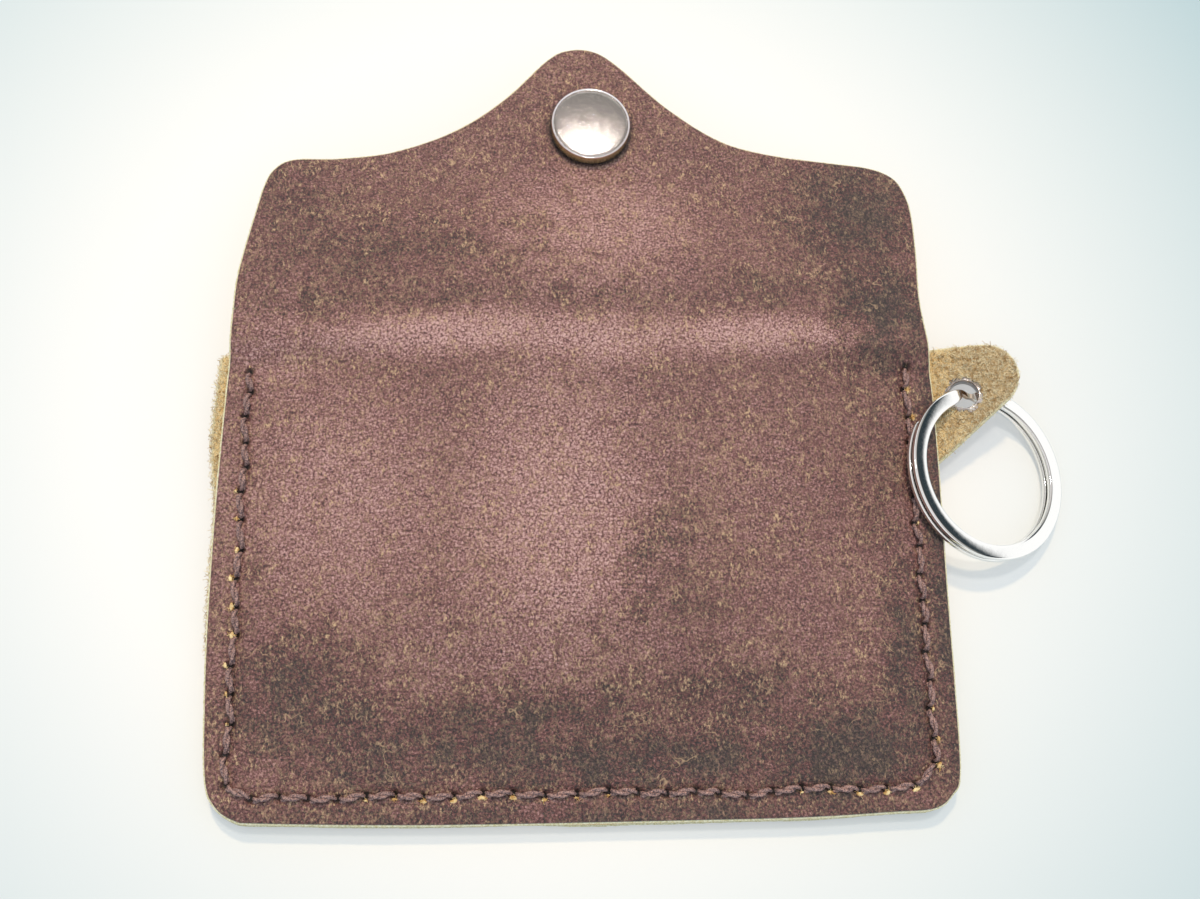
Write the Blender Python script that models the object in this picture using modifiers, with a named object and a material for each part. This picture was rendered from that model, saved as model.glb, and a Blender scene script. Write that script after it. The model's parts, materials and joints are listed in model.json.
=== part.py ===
"""Keychain card wallet, lying face down with its flap open.

Two leather panels are sewn round three sides. The back panel runs on over a
fold into a snap flap. The front panel runs out at the right into a key tab,
whose eyelet holds a two-coil split ring.

The pocket is modelled in its own frame: X across, Y from the bottom seam to
the flap, Z from the front panel's outer face up to the back panel. An empty
then tips that frame to the way the wallet rests on a table.
"""
from math import asin, atan, cos, hypot, pi, radians, sin

import bmesh
import bpy
from mathutils import Matrix, Vector

MM = 0.001
NAME = "keychain_card_wallet"

# Fits
GAP = 0.3 * MM             # clearance between pieces that lie on each other
SLIP = 0.2 * MM            # radial clearance of the snap's moving fit

# Leather
LEATHER = 1.5 * MM         # both panels, about four ounces
SEAM_HALF = 50.0 * MM      # middle of the wallet to each side seam
SEAM_CORNER = 4.5 * MM     # the seam turns the bottom corners on this radius
OUTLINE_STEP = 3.0 * MM    # spacing of the points along a cut edge
BODY_GRID = 9.0 * MM       # spacing of the bend lines in a curved panel
STRAY = 1.5 * MM           # the front panel stands out this far at the upper left
STRAY_FROM = 0.59          # from this share of the pocket's height
STRAY_TO = 0.84            # and in full from here up
CUT_DEEP = 10.0 * MM       # length of the tools that cut the holes

# Mouth, fold and crown of the pocket
MOUTH_Y = 64.3 * MM        # top edge of the front panel
MOUTH_SET_BACK = 2.5 * MM  # the front panel stops this far short of the crease
SEAM_SHORT = 2.8 * MM      # the side seams end this far below the mouth
MOUTH_LIFT = 1.8 * MM      # the crease stands this far above the seamed edge
CROWN_LIFT = 4.7 * MM      # used leather stays raised over the cards
CROWN_START = 3.5 * MM     # the crown begins above the bottom seam
CROWN_RUN = 26.0 * MM      # and reaches its height over this length
CROWN_INSET = 2.5 * MM     # the crown ends this far inside the side seams
FLAP_CROWN_RUN = 21.0 * MM # the crown dies out along the flap over this length

# Snap fastener
SNAP_X = 1.3 * MM          # the snap sits a little right of the middle
SNAP_REACH = 28.05 * MM     # flap crease to the snap's centre, along the flap
CAP_R = 6.25 * MM
CAP_H = 2.0 * MM
CAP_WALL = 0.35 * MM
CAP_ROUND = 0.7 * MM
POST_R = 1.25 * MM
POST_BASE_R = 4.6 * MM
POST_BASE = 0.4 * MM
POST_FLARE = 0.2 * MM      # the spread end of a post over the washer it holds
SOCKET_R = 5.4 * MM
SOCKET_H = 3.0 * MM
SOCKET_WALL = 0.4 * MM
SOCKET_FLOOR = 0.5 * MM
SPRING_WIRE_R = 0.28 * MM
SPRING_DEPTH = 0.85 * MM   # the spring lies this far inside the socket's mouth
SPRING_OPEN = 70.0         # degrees left open in the spring
STUD_BALL_R = 2.05 * MM
STUD_NECK_R = 1.6 * MM
STUD_FLANGE_R = 5.0 * MM
STUD_FLANGE = 0.4 * MM
STUD_H = 2.6 * MM          # flange and ball together
STUD_END = 0.3 * MM        # thickness of the ball's closed, flat end
RIVET_HEAD_R = 4.6 * MM
RIVET_HEAD = 0.45 * MM

# Key tab and eyelet
TAB_MARGIN = 4.7 * MM      # the tab bends out this far outside the side seam
TAB_OUT = 8.1 * MM         # from that bend to the centre of its round end
TAB_BELOW = 2.6 * MM       # that centre lies this far below the mouth
TAB_END_R = 5.5 * MM
TAB_ROOT_H = 16.7 * MM     # height of the tab at its root
TAB_SLANT = -49.0          # degrees; square to the slanted lower edge
TAB_FALL = 0.4 * MM        # the top edge falls this far to the root
EYELET_INSET = 2.8 * MM    # the eyelet sits back from the round end, both ways
EYELET_BORE_R = 2.2 * MM
EYELET_WALL = 0.25 * MM
EYELET_FLANGE_R = 3.6 * MM
EYELET_ROLL_R = 2.95 * MM
EYELET_LIP = 0.3 * MM      # height of the flange and of the roll
PETALS = 8
PETAL_SLIT = 0.35 * MM

# Split ring
RING_OD = 27.6 * MM
RING_WIDTH = 2.3 * MM      # radial width of the flat wire
RING_COIL = 0.85 * MM      # thickness of the flat wire
RING_GAP = 0.42 * MM       # between the two coils
RING_SLOPE = 16.8          # degrees; from the margin down to the table
RING_BEARING = 102.0       # degrees; where round the ring the eyelet is
JOG_HALF = 10.5            # degrees of ring to each side of the step's middle
COIL_END_LEFT = 42.0       # degrees from the step to the lower coil's end
COIL_END_RIGHT = 27.0      # degrees from the step to the upper coil's end
RING_STEPS = 96            # points along the two turns

# Thread
THREAD_R = 0.32 * MM
THREAD_DIP = 0.1 * MM      # each stitch pulls down at its holes
THREAD_GAP = 0.2 * MM      # between the thread and the leather it lies on
STITCH_PITCH = 4.06 * MM

# Worked out from the sizes above
SEAM_TOP = MOUTH_Y - SEAM_SHORT                # upper end of the side seams
CREASE_Y = MOUTH_Y + MOUTH_SET_BACK            # crease where the back panel ends
CROWN_HALF = SEAM_HALF - CROWN_INSET
TAB_ROOT_X = SEAM_HALF + TAB_MARGIN
TAB_END = (TAB_ROOT_X + TAB_OUT, MOUTH_Y - TAB_BELOW)
EYELET = (TAB_END[0] - EYELET_INSET, TAB_END[1] - EYELET_INSET)
SEAM_Z = LEATHER + GAP                         # flesh side of the back panel
CREASE_Z = SEAM_Z + MOUTH_LIFT                 # the same at the crease
SNAP_APART = SOCKET_H + STUD_FLANGE + 1.5 * GAP    # flap to front panel when shut
SPINE = CREASE_Z + SNAP_APART                  # leather between the creases
SNAP_Y = CREASE_Y - SNAP_REACH                 # so the stud meets the socket
THREAD_PROUD = THREAD_GAP + 2 * THREAD_R + THREAD_DIP
LIE = atan((STUD_H - THREAD_PROUD) / (SNAP_Y - STUD_BALL_R))
RING_PITCH = RING_COIL + RING_GAP
RING_MID_R = (RING_OD - RING_WIDTH) / 2
RING_TALL = RING_COIL + RING_PITCH

FLAP_Y = CREASE_Y + SPINE                      # crease of the flap, leather laid flat

# The cut edge, traced from the hand-cut leather. Along the sides: millimetres
# outside the seam, then the share of the mouth's height or millimetres of flap.
LEFT_SIDE = ((3.0, 0.040), (3.7, 0.202), (4.0, 0.389), (3.9, 0.653), (3.4, 0.902), (3.0, 1.011))
LEFT_FLAP = ((2.6, -0.2), (1.9, 4.75), (0.6, 11.25), (-0.6, 16.75))
RIGHT_SIDE = ((3.8, 0.031), (4.1, 0.218), (4.2, 0.451), (4.5, 0.747), (4.4, 0.933), (3.7, 1.042))
RIGHT_FLAP = ((3.0, -0.2), (3.2, 7.75), (3.0, 14.75), (2.0, 18.75))
# Across the top and bottom: shares of the half width, then millimetres.
FLAP_TOP = ((-0.96, 19.75), (-0.90, 21.55), (-0.76, 21.95), (-0.59, 23.45), (-0.404, 27.45),
            (-0.246, 33.55), (-0.112, 40.85), (-0.04, 42.95), (0.044, 42.85), (0.124, 40.15),
            (0.28, 32.65), (0.45, 26.95), (0.626, 24.55), (0.81, 23.45), (0.93, 22.75),
            (1.004, 21.25))
BOTTOM = ((1.048, -1.2), (0.99, -3.2), (0.86, -3.6), (0.6, -4.1), (0.2, -4.2), (-0.3, -4.2),
          (-0.6, -4.0), (-0.91, -3.5), (-0.972, -3.1), (-1.028, -1.2))

LEATHER_BROWN = (0.105, 0.055, 0.050)
SUEDE_TAN = (0.42, 0.30, 0.17)
THREAD_BROWN = (0.085, 0.045, 0.035)
NICKEL = (0.62, 0.61, 0.58)
STEEL = (0.70, 0.71, 0.72)
BRASS = (0.55, 0.42, 0.22)


def material(name, colour, roughness, metallic=0.0):
    made = bpy.data.materials.get(name)
    if made:
        return made
    made = bpy.data.materials.new(name)
    made.use_nodes = True
    shader = made.node_tree.nodes["Principled BSDF"]
    shader.inputs["Base Color"].default_value = (*colour, 1.0)
    shader.inputs["Roughness"].default_value = roughness
    shader.inputs["Metallic"].default_value = metallic
    return made


def collection(name):
    made = bpy.data.collections.new(name)
    bpy.context.scene.collection.children.link(made)
    return made


def clear_scene():
    for ob in list(bpy.data.objects):
        bpy.data.objects.remove(ob, do_unlink=True)


def empty(name, parent, matrix):
    ob = bpy.data.objects.new(name, None)
    ob.empty_display_size = 0.01
    PARTS.objects.link(ob)
    ob.parent = parent
    ob.matrix_local = matrix
    return ob


def part(name, mesh, parent, finish):
    mesh.name = name
    ob = bpy.data.objects.new(name, mesh)
    PARTS.objects.link(ob)
    ob.parent = parent
    ob.data.materials.clear()
    ob.data.materials.append(finish)
    return ob


def round_shading(ob):
    ob.data.shade_smooth()
    ob.data.set_sharp_from_angle(angle=radians(40))
    return ob


def mesh_from_curve(curve):
    """The evaluated curve as a welded mesh."""
    ob = bpy.data.objects.new("form", curve)
    PARTS.objects.link(ob)
    graph = bpy.context.evaluated_depsgraph_get()
    mesh = bpy.data.meshes.new_from_object(ob.evaluated_get(graph))
    bpy.data.objects.remove(ob, do_unlink=True)
    bm = bmesh.new()
    bm.from_mesh(mesh)
    bmesh.ops.remove_doubles(bm, verts=bm.verts, dist=1e-6)
    bmesh.ops.recalc_face_normals(bm, faces=bm.faces)
    bm.to_mesh(mesh)
    bm.free()
    return mesh


def spline_points(points, closed):
    """Points along a smooth curve through the given ones, evenly spaced."""
    count = len(points)
    fine = []
    spans = count if closed else count - 1
    for i in range(spans):
        if closed:
            four = [points[(i + k) % count] for k in (-1, 0, 1, 2)]
        else:
            four = [points[min(max(i + k, 0), count - 1)] for k in (-1, 0, 1, 2)]
        a, b, c, d = (Vector(p) for p in four)
        for s in range(12):
            t = s / 12
            fine.append(0.5 * ((2 * b) + (c - a) * t + (2 * a - 5 * b + 4 * c - d) * t * t
                               + (3 * b - a - 3 * c + d) * t ** 3))
    if not closed:
        fine.append(Vector(points[-1]))
    return fine


def evenly(points, step):
    """The open polyline again, with points about one step apart."""
    length = sum((b - a).length for a, b in zip(points, points[1:]))
    count = max(2, round(length / step))
    made = [points[0]]
    target = length / count
    walked = 0.0
    for a, b in zip(points, points[1:]):
        run = (b - a).length
        while len(made) < count and walked + run >= target * len(made) - 1e-12:
            made.append(a + (b - a) * ((target * len(made) - walked) / run))
        walked += run
    made.append(points[-1])
    return made


def arc(centre, radius, start, end, steps):
    """Points on an arc, angles in degrees."""
    return [Vector((centre[0] + radius * cos(radians(start + (end - start) * i / steps)),
                    centre[1] + radius * sin(radians(start + (end - start) * i / steps))))
            for i in range(steps + 1)]


def smooth_rise(start, end, value):
    t = min(max((value - start) / (end - start), 0.0), 1.0)
    return t * t * (3 - 2 * t)


def across(x):
    """Share of the crown's height at x: full in the middle, none at the seams."""
    share = min(abs(x) / CROWN_HALF, 1.0)
    return (1 - share ** 3) ** 2


def pocket_rise(x, y):
    """How far the back panel stands above its seamed edge."""
    edge = MOUTH_LIFT * smooth_rise(SEAM_TOP, CREASE_Y, y)
    crown = CROWN_LIFT * smooth_rise(CROWN_START, CROWN_START + CROWN_RUN, y)
    return edge + (crown - edge) * across(x)


def spine_rise(x, y):
    return (CROWN_LIFT - MOUTH_LIFT) * across(x)


def flap_rise(x, y):
    return spine_rise(x, y) * (1 - smooth_rise(0, FLAP_CROWN_RUN, y))


def lines_between(low, high, step):
    count = max(1, round((high - low) / step))
    return [low + (high - low) * i / count for i in range(1, count)]


def leather_piece(name, outline, base, rise, grid, parent, finish):
    """A cut-out of leather from a flat outline, bent to a height function."""
    curve = bpy.data.curves.new(name, "CURVE")
    curve.dimensions = "2D"
    curve.fill_mode = "BOTH"
    curve.extrude = LEATHER / 2
    spline = curve.splines.new("POLY")
    spline.points.add(len(outline) - 1)
    for point, place in zip(spline.points, outline):
        point.co = (place[0], place[1], 0.0, 1.0)
    spline.use_cyclic_u = True
    mesh = mesh_from_curve(curve)
    bm = bmesh.new()
    bm.from_mesh(mesh)
    if rise:
        xs = [p[0] for p in outline]
        ys = [p[1] for p in outline]
        for axis, places in ((0, lines_between(min(xs), max(xs), grid)),
                             (1, lines_between(min(ys), max(ys), grid))):
            for place in places:
                spot = Vector((0, 0, 0))
                spot[axis] = place
                normal = Vector((0, 0, 0))
                normal[axis] = 1
                bmesh.ops.bisect_plane(bm, geom=bm.verts[:] + bm.edges[:] + bm.faces[:],
                                       dist=1e-6, plane_co=spot, plane_no=normal)
        caps = [f for f in bm.faces if abs(f.normal.z) > 0.9]
        flat_edges = {e for f in caps for e in f.edges}
        bmesh.ops.dissolve_degenerate(bm, edges=list(flat_edges), dist=1e-5)
    for vert in bm.verts:
        lift = rise(vert.co.x, vert.co.y) if rise else 0.0
        vert.co.z += base + LEATHER / 2 + lift
    bmesh.ops.triangulate(bm, faces=bm.faces[:])
    bmesh.ops.recalc_face_normals(bm, faces=bm.faces[:])
    bm.to_mesh(mesh)
    bm.free()
    return part(name, mesh, parent, finish)


def turned(name, profile, parent, finish, steps=32, place=(0, 0, 0)):
    """A closed turned solid. The profile runs down the outer side and back up inside."""
    mesh = bpy.data.meshes.new(name)
    bm = bmesh.new()
    verts = [bm.verts.new((r, 0.0, z)) for r, z in profile]
    for a, b in zip(verts, verts[1:]):
        bm.edges.new((a, b))
    if profile[0][0] > 1e-9:
        bm.edges.new((verts[-1], verts[0]))
    bm.to_mesh(mesh)
    bm.free()
    ob = part(name, mesh, parent, finish)
    ob.location = place
    screw = ob.modifiers.new("Turn", "SCREW")
    screw.steps = steps
    screw.render_steps = steps
    screw.use_merge_vertices = True
    screw.merge_threshold = 1e-6
    screw.use_smooth_shade = True
    return ob


def cutter_cylinder(name, radius, length, parent, matrix, sides=24):
    mesh = bpy.data.meshes.new(name)
    bm = bmesh.new()
    bmesh.ops.create_cone(bm, cap_ends=True, segments=sides, radius1=radius, radius2=radius,
                          depth=length)
    bm.to_mesh(mesh)
    bm.free()
    return cutter(name, mesh, parent, matrix)


def cutter(name, mesh, parent, matrix):
    ob = bpy.data.objects.new(name, mesh)
    CUTTERS.objects.link(ob)
    ob.parent = parent
    ob.matrix_local = matrix
    ob.hide_render = True
    ob.display_type = "WIRE"
    return ob


def cut(ob, tool):
    mod = ob.modifiers.new("Cut " + tool.name, "BOOLEAN")
    mod.operation = "DIFFERENCE"
    mod.object = tool


def side_edge(side, pocket_points, flap_points):
    """One side of the back leather, bottom corner to shoulder."""
    made = [Vector((side * (SEAM_HALF + out * MM), share * MOUTH_Y)) for out, share in pocket_points]
    return made + [Vector((side * (SEAM_HALF + out * MM), FLAP_Y + up * MM))
                   for out, up in flap_points]


def level_edge(points, base):
    """The top or bottom edge of the back leather."""
    return [Vector((share * SEAM_HALF, base + up * MM)) for share, up in points]


def clip_to_band(points, low, high):
    """A closed outline cut to the band between two levels of y."""
    def keep(line, level, below):
        made = []
        for a, b in zip(line, line[1:] + line[:1]):
            inside = (a.y <= level) if below else (a.y >= level)
            follows = (b.y <= level) if below else (b.y >= level)
            if inside:
                made.append(a)
            if inside != follows:
                made.append(a + (b - a) * ((level - a.y) / (b.y - a.y)))
        return made
    return keep(keep(points, high, True), low, False)


def back_outline():
    """The whole back leather, body and flap, laid flat as one outline."""
    right = side_edge(1, RIGHT_SIDE, RIGHT_FLAP)
    points = (side_edge(-1, LEFT_SIDE, LEFT_FLAP) + level_edge(FLAP_TOP, FLAP_Y)
              + right[::-1] + level_edge(BOTTOM, 0.0))
    fine = spline_points(points, closed=True)
    return evenly(fine + [fine[0]], OUTLINE_STEP)[:-1]


def front_outline():
    """The front panel follows the back one, but stands out a little at the left."""
    body = clip_to_band(back_outline(), -1.0, MOUTH_Y)
    made = []
    for point in body:
        stray = smooth_rise(STRAY_FROM * MOUTH_Y, STRAY_TO * MOUTH_Y, point.y) * STRAY
        x = point.x - stray if point.x < 0 else min(point.x, TAB_ROOT_X - GAP)
        made.append(Vector((x, point.y)))
    return made


def tab_outline():
    """Key tab, laid flat: round end, level top edge and slanted lower edge."""
    top = TAB_END[1] + TAB_END_R
    end = arc(TAB_END, TAB_END_R, TAB_SLANT, 90, 14)
    root = TAB_ROOT_X + GAP
    low = MOUTH_Y - TAB_ROOT_H
    return [Vector((root, low))] + end + [Vector((root, top - TAB_FALL))]


def build_leather(pocket, spine, flap, tab):
    brown = material("Distressed brown leather", LEATHER_BROWN, 0.55)
    suede = material("Brown leather flesh side", SUEDE_TAN, 0.9)
    outline = back_outline()
    back = clip_to_band(outline, -1.0, CREASE_Y - GAP / 2)
    leather_piece("back_panel", back, SEAM_Z, pocket_rise, BODY_GRID, pocket, brown)
    leather_piece("front_panel", front_outline(), 0.0, None, BODY_GRID, pocket, suede)

    strip = clip_to_band(outline, CREASE_Y + GAP / 2, FLAP_Y - GAP / 2)
    strip = [Vector((p.x, p.y - CREASE_Y)) for p in strip]
    leather_piece("fold_spine", strip, 0.0, spine_rise, BODY_GRID, spine, brown)

    tongue = clip_to_band(outline, FLAP_Y + GAP / 2, 1.0)
    tongue = [Vector((p.x, p.y - FLAP_Y)) for p in tongue]
    flap_ob = leather_piece("flap", tongue, 0.0, flap_rise, BODY_GRID, flap, brown)
    hole = cutter_cylinder("cap post hole", POST_R + GAP, CUT_DEEP, flap,
                           Matrix.Translation((SNAP_X, SNAP_REACH, 0)))
    cut(flap_ob, hole)

    front = bpy.data.objects["front_panel"]
    hole = cutter_cylinder("stud post hole", POST_R + GAP, CUT_DEEP, pocket,
                           Matrix.Translation((SNAP_X, SNAP_Y, 0)))
    cut(front, hole)

    ear = [Vector((p.x - TAB_ROOT_X, p.y)) for p in tab_outline()]
    ear_ob = leather_piece("key_tab", ear, 0.0, None, BODY_GRID, tab, suede)
    hole = cutter_cylinder("eyelet hole", EYELET_BORE_R + EYELET_WALL + GAP, CUT_DEEP, tab,
                           Matrix.Translation((EYELET[0] - TAB_ROOT_X, EYELET[1], 0)))
    cut(ear_ob, hole)


def seam_path():
    """The U-shaped seam: down the left, along the bottom, up the right."""
    left = [Vector((-SEAM_HALF, SEAM_TOP)), Vector((-SEAM_HALF, SEAM_CORNER))]
    right = [Vector((SEAM_HALF, SEAM_CORNER)), Vector((SEAM_HALF, SEAM_TOP))]
    turn_left = arc((-SEAM_HALF + SEAM_CORNER, SEAM_CORNER), SEAM_CORNER, 180, 270, 8)
    turn_right = arc((SEAM_HALF - SEAM_CORNER, SEAM_CORNER), SEAM_CORNER, 270, 360, 8)
    return left[:1] + turn_left + turn_right + right[1:]


def seam_run(name, height, side):
    """One face's run of stitches: a cord that dips at every hole."""
    stations = evenly(seam_path(), STITCH_PITCH / 2)
    curve = bpy.data.curves.new(name, "CURVE")
    curve.dimensions = "3D"
    curve.bevel_depth = THREAD_R
    curve.bevel_resolution = 1
    curve.use_fill_caps = True
    spline = curve.splines.new("POLY")
    spline.points.add(len(stations) - 1)
    for i, (point, place) in enumerate(zip(spline.points, stations)):
        dip = THREAD_DIP if i % 2 == 0 else 0.0
        point.co = (place.x, place.y, height - side * dip, 1.0)
    return mesh_from_curve(curve)


def build_thread(pocket):
    """One waxed thread sewn through and through: the run that shows on each face."""
    waxed = material("Waxed brown thread", THREAD_BROWN, 0.6)
    top = SEAM_Z + LEATHER + THREAD_GAP + THREAD_R + THREAD_DIP
    under = -THREAD_GAP - THREAD_R - THREAD_DIP
    for name, side, height in (("seam_thread_back", 1, top), ("seam_thread_front", -1, under)):
        round_shading(part(name, seam_run(name, height, side), pocket, waxed))


def build_snap(pocket, flap):
    nickel = material("Polished nickel", NICKEL, 0.18, 1.0)
    brass = material("Snap spring brass", BRASS, 0.3, 1.0)
    centre = (SNAP_X, SNAP_REACH, 0)
    grain = LEATHER
    seat = grain + GAP

    rim = CAP_R - CAP_ROUND
    inner = CAP_R - CAP_WALL
    crest = seat + CAP_H
    dome = CAP_WALL * 0.5
    profile = [(0, crest + dome), (rim * 0.5, crest + dome * 0.75), (rim * 0.85, crest + dome * 0.2),
               (rim, crest), (rim + CAP_ROUND * 0.7, crest - CAP_ROUND * 0.3),
               (CAP_R, crest - CAP_ROUND), (CAP_R, seat + CAP_WALL),
               (CAP_R - CAP_WALL * 0.5, seat), (POST_BASE_R + SLIP, seat),
               (POST_BASE_R + SLIP, seat + CAP_WALL), (inner, seat + CAP_WALL),
               (inner, crest - CAP_ROUND), (rim, crest - CAP_WALL), (0, crest - CAP_WALL)]
    turned("snap_cap", profile, flap, nickel, steps=40, place=centre)

    top = seat + POST_BASE
    tip = -SOCKET_FLOOR - GAP
    profile = [(0, top), (POST_BASE_R, top), (POST_BASE_R, seat), (POST_R, seat),
               (POST_R, tip), (POST_R * 1.5, tip - POST_FLARE * 0.3),
               (POST_R * 1.5, tip - POST_FLARE), (0, tip - POST_FLARE)]
    turned("cap_post", profile, flap, nickel, steps=24, place=centre)

    mouth = -SOCKET_H
    bore = STUD_BALL_R + SLIP + 2 * SPRING_WIRE_R + SLIP
    lip = STUD_BALL_R + 2 * SLIP
    floor = -GAP - SOCKET_FLOOR
    profile = [(POST_R + GAP / 2, -GAP), (SOCKET_R, -GAP), (SOCKET_R, floor - SOCKET_WALL * 0.4),
               (bore + SOCKET_WALL, floor - SOCKET_WALL), (bore + SOCKET_WALL, mouth + 0.2 * MM),
               (bore + SOCKET_WALL * 0.5, mouth), (lip, mouth), (lip, mouth + SOCKET_WALL),
               (bore, mouth + SOCKET_WALL), (bore, floor), (POST_R + GAP / 2, floor)]
    turned("snap_socket", profile, flap, nickel, steps=32, place=centre)

    level = mouth + SPRING_DEPTH
    radius = STUD_BALL_R + SLIP + SPRING_WIRE_R
    coil = arc((SNAP_X, SNAP_REACH), radius, SPRING_OPEN / 2, 360 - SPRING_OPEN / 2, 18)
    curve = bpy.data.curves.new("spring", "CURVE")
    curve.dimensions = "3D"
    curve.bevel_depth = SPRING_WIRE_R
    curve.bevel_resolution = 1
    curve.use_fill_caps = True
    spline = curve.splines.new("POLY")
    spline.points.add(len(coil) - 1)
    for point, place in zip(spline.points, coil):
        point.co = (place.x, place.y, level, 1.0)
    round_shading(part("socket_spring", mesh_from_curve(curve), flap, brass))

    stud_at = (SNAP_X, SNAP_Y, 0)
    low = -GAP / 2
    ball = -STUD_H
    hollow = POST_R + GAP
    floor = ball + STUD_END
    profile = [(0, floor), (hollow, floor), (hollow, low),
               (STUD_FLANGE_R - 0.2 * MM, low), (STUD_FLANGE_R, low - 0.1 * MM),
               (STUD_FLANGE_R - 0.1 * MM, low - STUD_FLANGE), (STUD_NECK_R + 0.5 * MM, low - STUD_FLANGE),
               (STUD_NECK_R, low - STUD_FLANGE - 0.3 * MM), (STUD_NECK_R, ball + 1.25 * MM),
               (STUD_BALL_R, ball + 0.8 * MM), (STUD_BALL_R, ball + 0.45 * MM),
               (STUD_BALL_R - 0.4 * MM, ball), (0, ball)]
    turned("snap_stud", profile, pocket, nickel, steps=28, place=stud_at)

    head = LEATHER + GAP / 2
    tip = floor + GAP
    profile = [(0, head + RIVET_HEAD), (RIVET_HEAD_R - 0.3 * MM, head + RIVET_HEAD),
               (RIVET_HEAD_R, head + RIVET_HEAD * 0.5), (RIVET_HEAD_R - 0.1 * MM, head),
               (POST_R, head), (POST_R, tip), (0, tip)]
    turned("stud_post", profile, pocket, nickel, steps=24, place=stud_at)


def build_eyelet(tab):
    nickel = material("Polished nickel", NICKEL, 0.18, 1.0)
    bore = EYELET_BORE_R
    barrel = bore + EYELET_WALL
    under = -GAP / 2
    over = LEATHER + GAP / 2
    profile = [(bore + 0.1 * MM, over + EYELET_LIP), (barrel, over + EYELET_LIP),
               (EYELET_ROLL_R, over + EYELET_LIP * 0.45), (EYELET_ROLL_R, over),
               (barrel, over), (barrel, under), (EYELET_FLANGE_R, under),
               (EYELET_FLANGE_R, under - EYELET_LIP * 0.5), (barrel, under - EYELET_LIP),
               (bore + 0.1 * MM, under - EYELET_LIP), (bore, under), (bore, over)]
    place = (EYELET[0] - TAB_ROOT_X, EYELET[1], 0)
    ob = turned("eyelet", profile, tab, nickel, steps=32, place=place)
    reach = 2 * (EYELET_ROLL_R + GAP)
    for i in range(PETALS // 2):
        mesh = bpy.data.meshes.new("slit")
        bm = bmesh.new()
        bmesh.ops.create_cube(bm, size=1, matrix=Matrix.Diagonal((reach, PETAL_SLIT, EYELET_LIP, 1)))
        bm.to_mesh(mesh)
        bm.free()
        turn = Matrix.Rotation(2 * pi * (i + 0.3) / PETALS, 4, "Z")
        lift = Matrix.Translation(Vector(place) + Vector((0, 0, over + EYELET_LIP * 0.7)))
        cut(ob, cutter(f"petal slit {i + 1}", mesh, tab, lift @ turn))


def ring_path():
    """Two turns of flat wire that step from the upper coil to the lower in the eyelet."""
    start = RING_BEARING - COIL_END_RIGHT
    end = RING_BEARING - 720 + COIL_END_LEFT
    step_at = RING_BEARING - 360
    centre = Vector((-cos(radians(RING_BEARING)), -sin(radians(RING_BEARING)))) * RING_MID_R
    stations = [start + (end - start) * i / RING_STEPS for i in range(RING_STEPS + 1)]
    stations = [a for a in stations if abs(a - step_at) > JOG_HALF]
    stations += [step_at + JOG_HALF * k / 4 for k in range(-4, 5)]
    made = []
    for angle in sorted(stations, reverse=True):
        share = smooth_rise(step_at - JOG_HALF, step_at + JOG_HALF, angle)
        made.append((centre.x + RING_MID_R * cos(radians(angle)),
                     centre.y + RING_MID_R * sin(radians(angle)), RING_PITCH * (share - 0.5)))
    return made


def ring_gap():
    """Least distance between the two coils, taken on points of the path."""
    path = [Vector(p) for p in ring_path()]
    least = RING_OD
    for i, a in enumerate(path):
        for b in path[i + RING_STEPS // 4:]:
            if hypot(a.x - b.x, a.y - b.y) < RING_WIDTH:
                least = min(least, abs(a.z - b.z) - RING_COIL)
    return least


def build_ring(swivel):
    """The split ring: a flat wire section swept along the stepped two-turn path."""
    steel = material("Polished steel", STEEL, 0.12, 1.0)
    section = bpy.data.curves.new("flat wire", "CURVE")
    section.dimensions = "2D"
    spline = section.splines.new("POLY")
    half_w = RING_WIDTH / 2
    half_t = RING_COIL / 2
    soft = half_t * 0.45
    corners = [(half_w, half_t - soft), (half_w - soft, half_t), (-half_w + soft, half_t),
               (-half_w, half_t - soft), (-half_w, -half_t + soft), (-half_w + soft, -half_t),
               (half_w - soft, -half_t), (half_w, -half_t + soft)]
    spline.points.add(len(corners) - 1)
    for point, (x, y) in zip(spline.points, corners):
        point.co = (x, y, 0, 1)
    spline.use_cyclic_u = True
    guide = cutter("flat wire section", section, None, Matrix.Identity(4))
    curve = bpy.data.curves.new("ring", "CURVE")
    curve.dimensions = "3D"
    curve.bevel_mode = "OBJECT"
    curve.bevel_object = guide
    curve.use_fill_caps = True
    curve.twist_mode = "Z_UP"
    path = curve.splines.new("POLY")
    stations = ring_path()
    path.points.add(len(stations) - 1)
    for point, place in zip(path.points, stations):
        point.co = (*place, 1)
    mesh = mesh_from_curve(curve)
    round_shading(part("split_ring", mesh, swivel, steel))


def rest_on_table(root):
    """Put the middle of the underside of the whole wallet's box at the origin."""
    graph = bpy.context.evaluated_depsgraph_get()
    corners = []
    for ob in PARTS.objects:
        if ob.type == "MESH":
            ready = ob.evaluated_get(graph)
            shape = ready.to_mesh()
            corners += [ready.matrix_world @ v.co for v in shape.vertices]
            ready.to_mesh_clear()
    low = Vector(min(c[i] for c in corners) for i in range(3))
    high = Vector(max(c[i] for c in corners) for i in range(3))
    root.location -= Vector(((low.x + high.x) / 2, (low.y + high.y) / 2, low.z))


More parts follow.
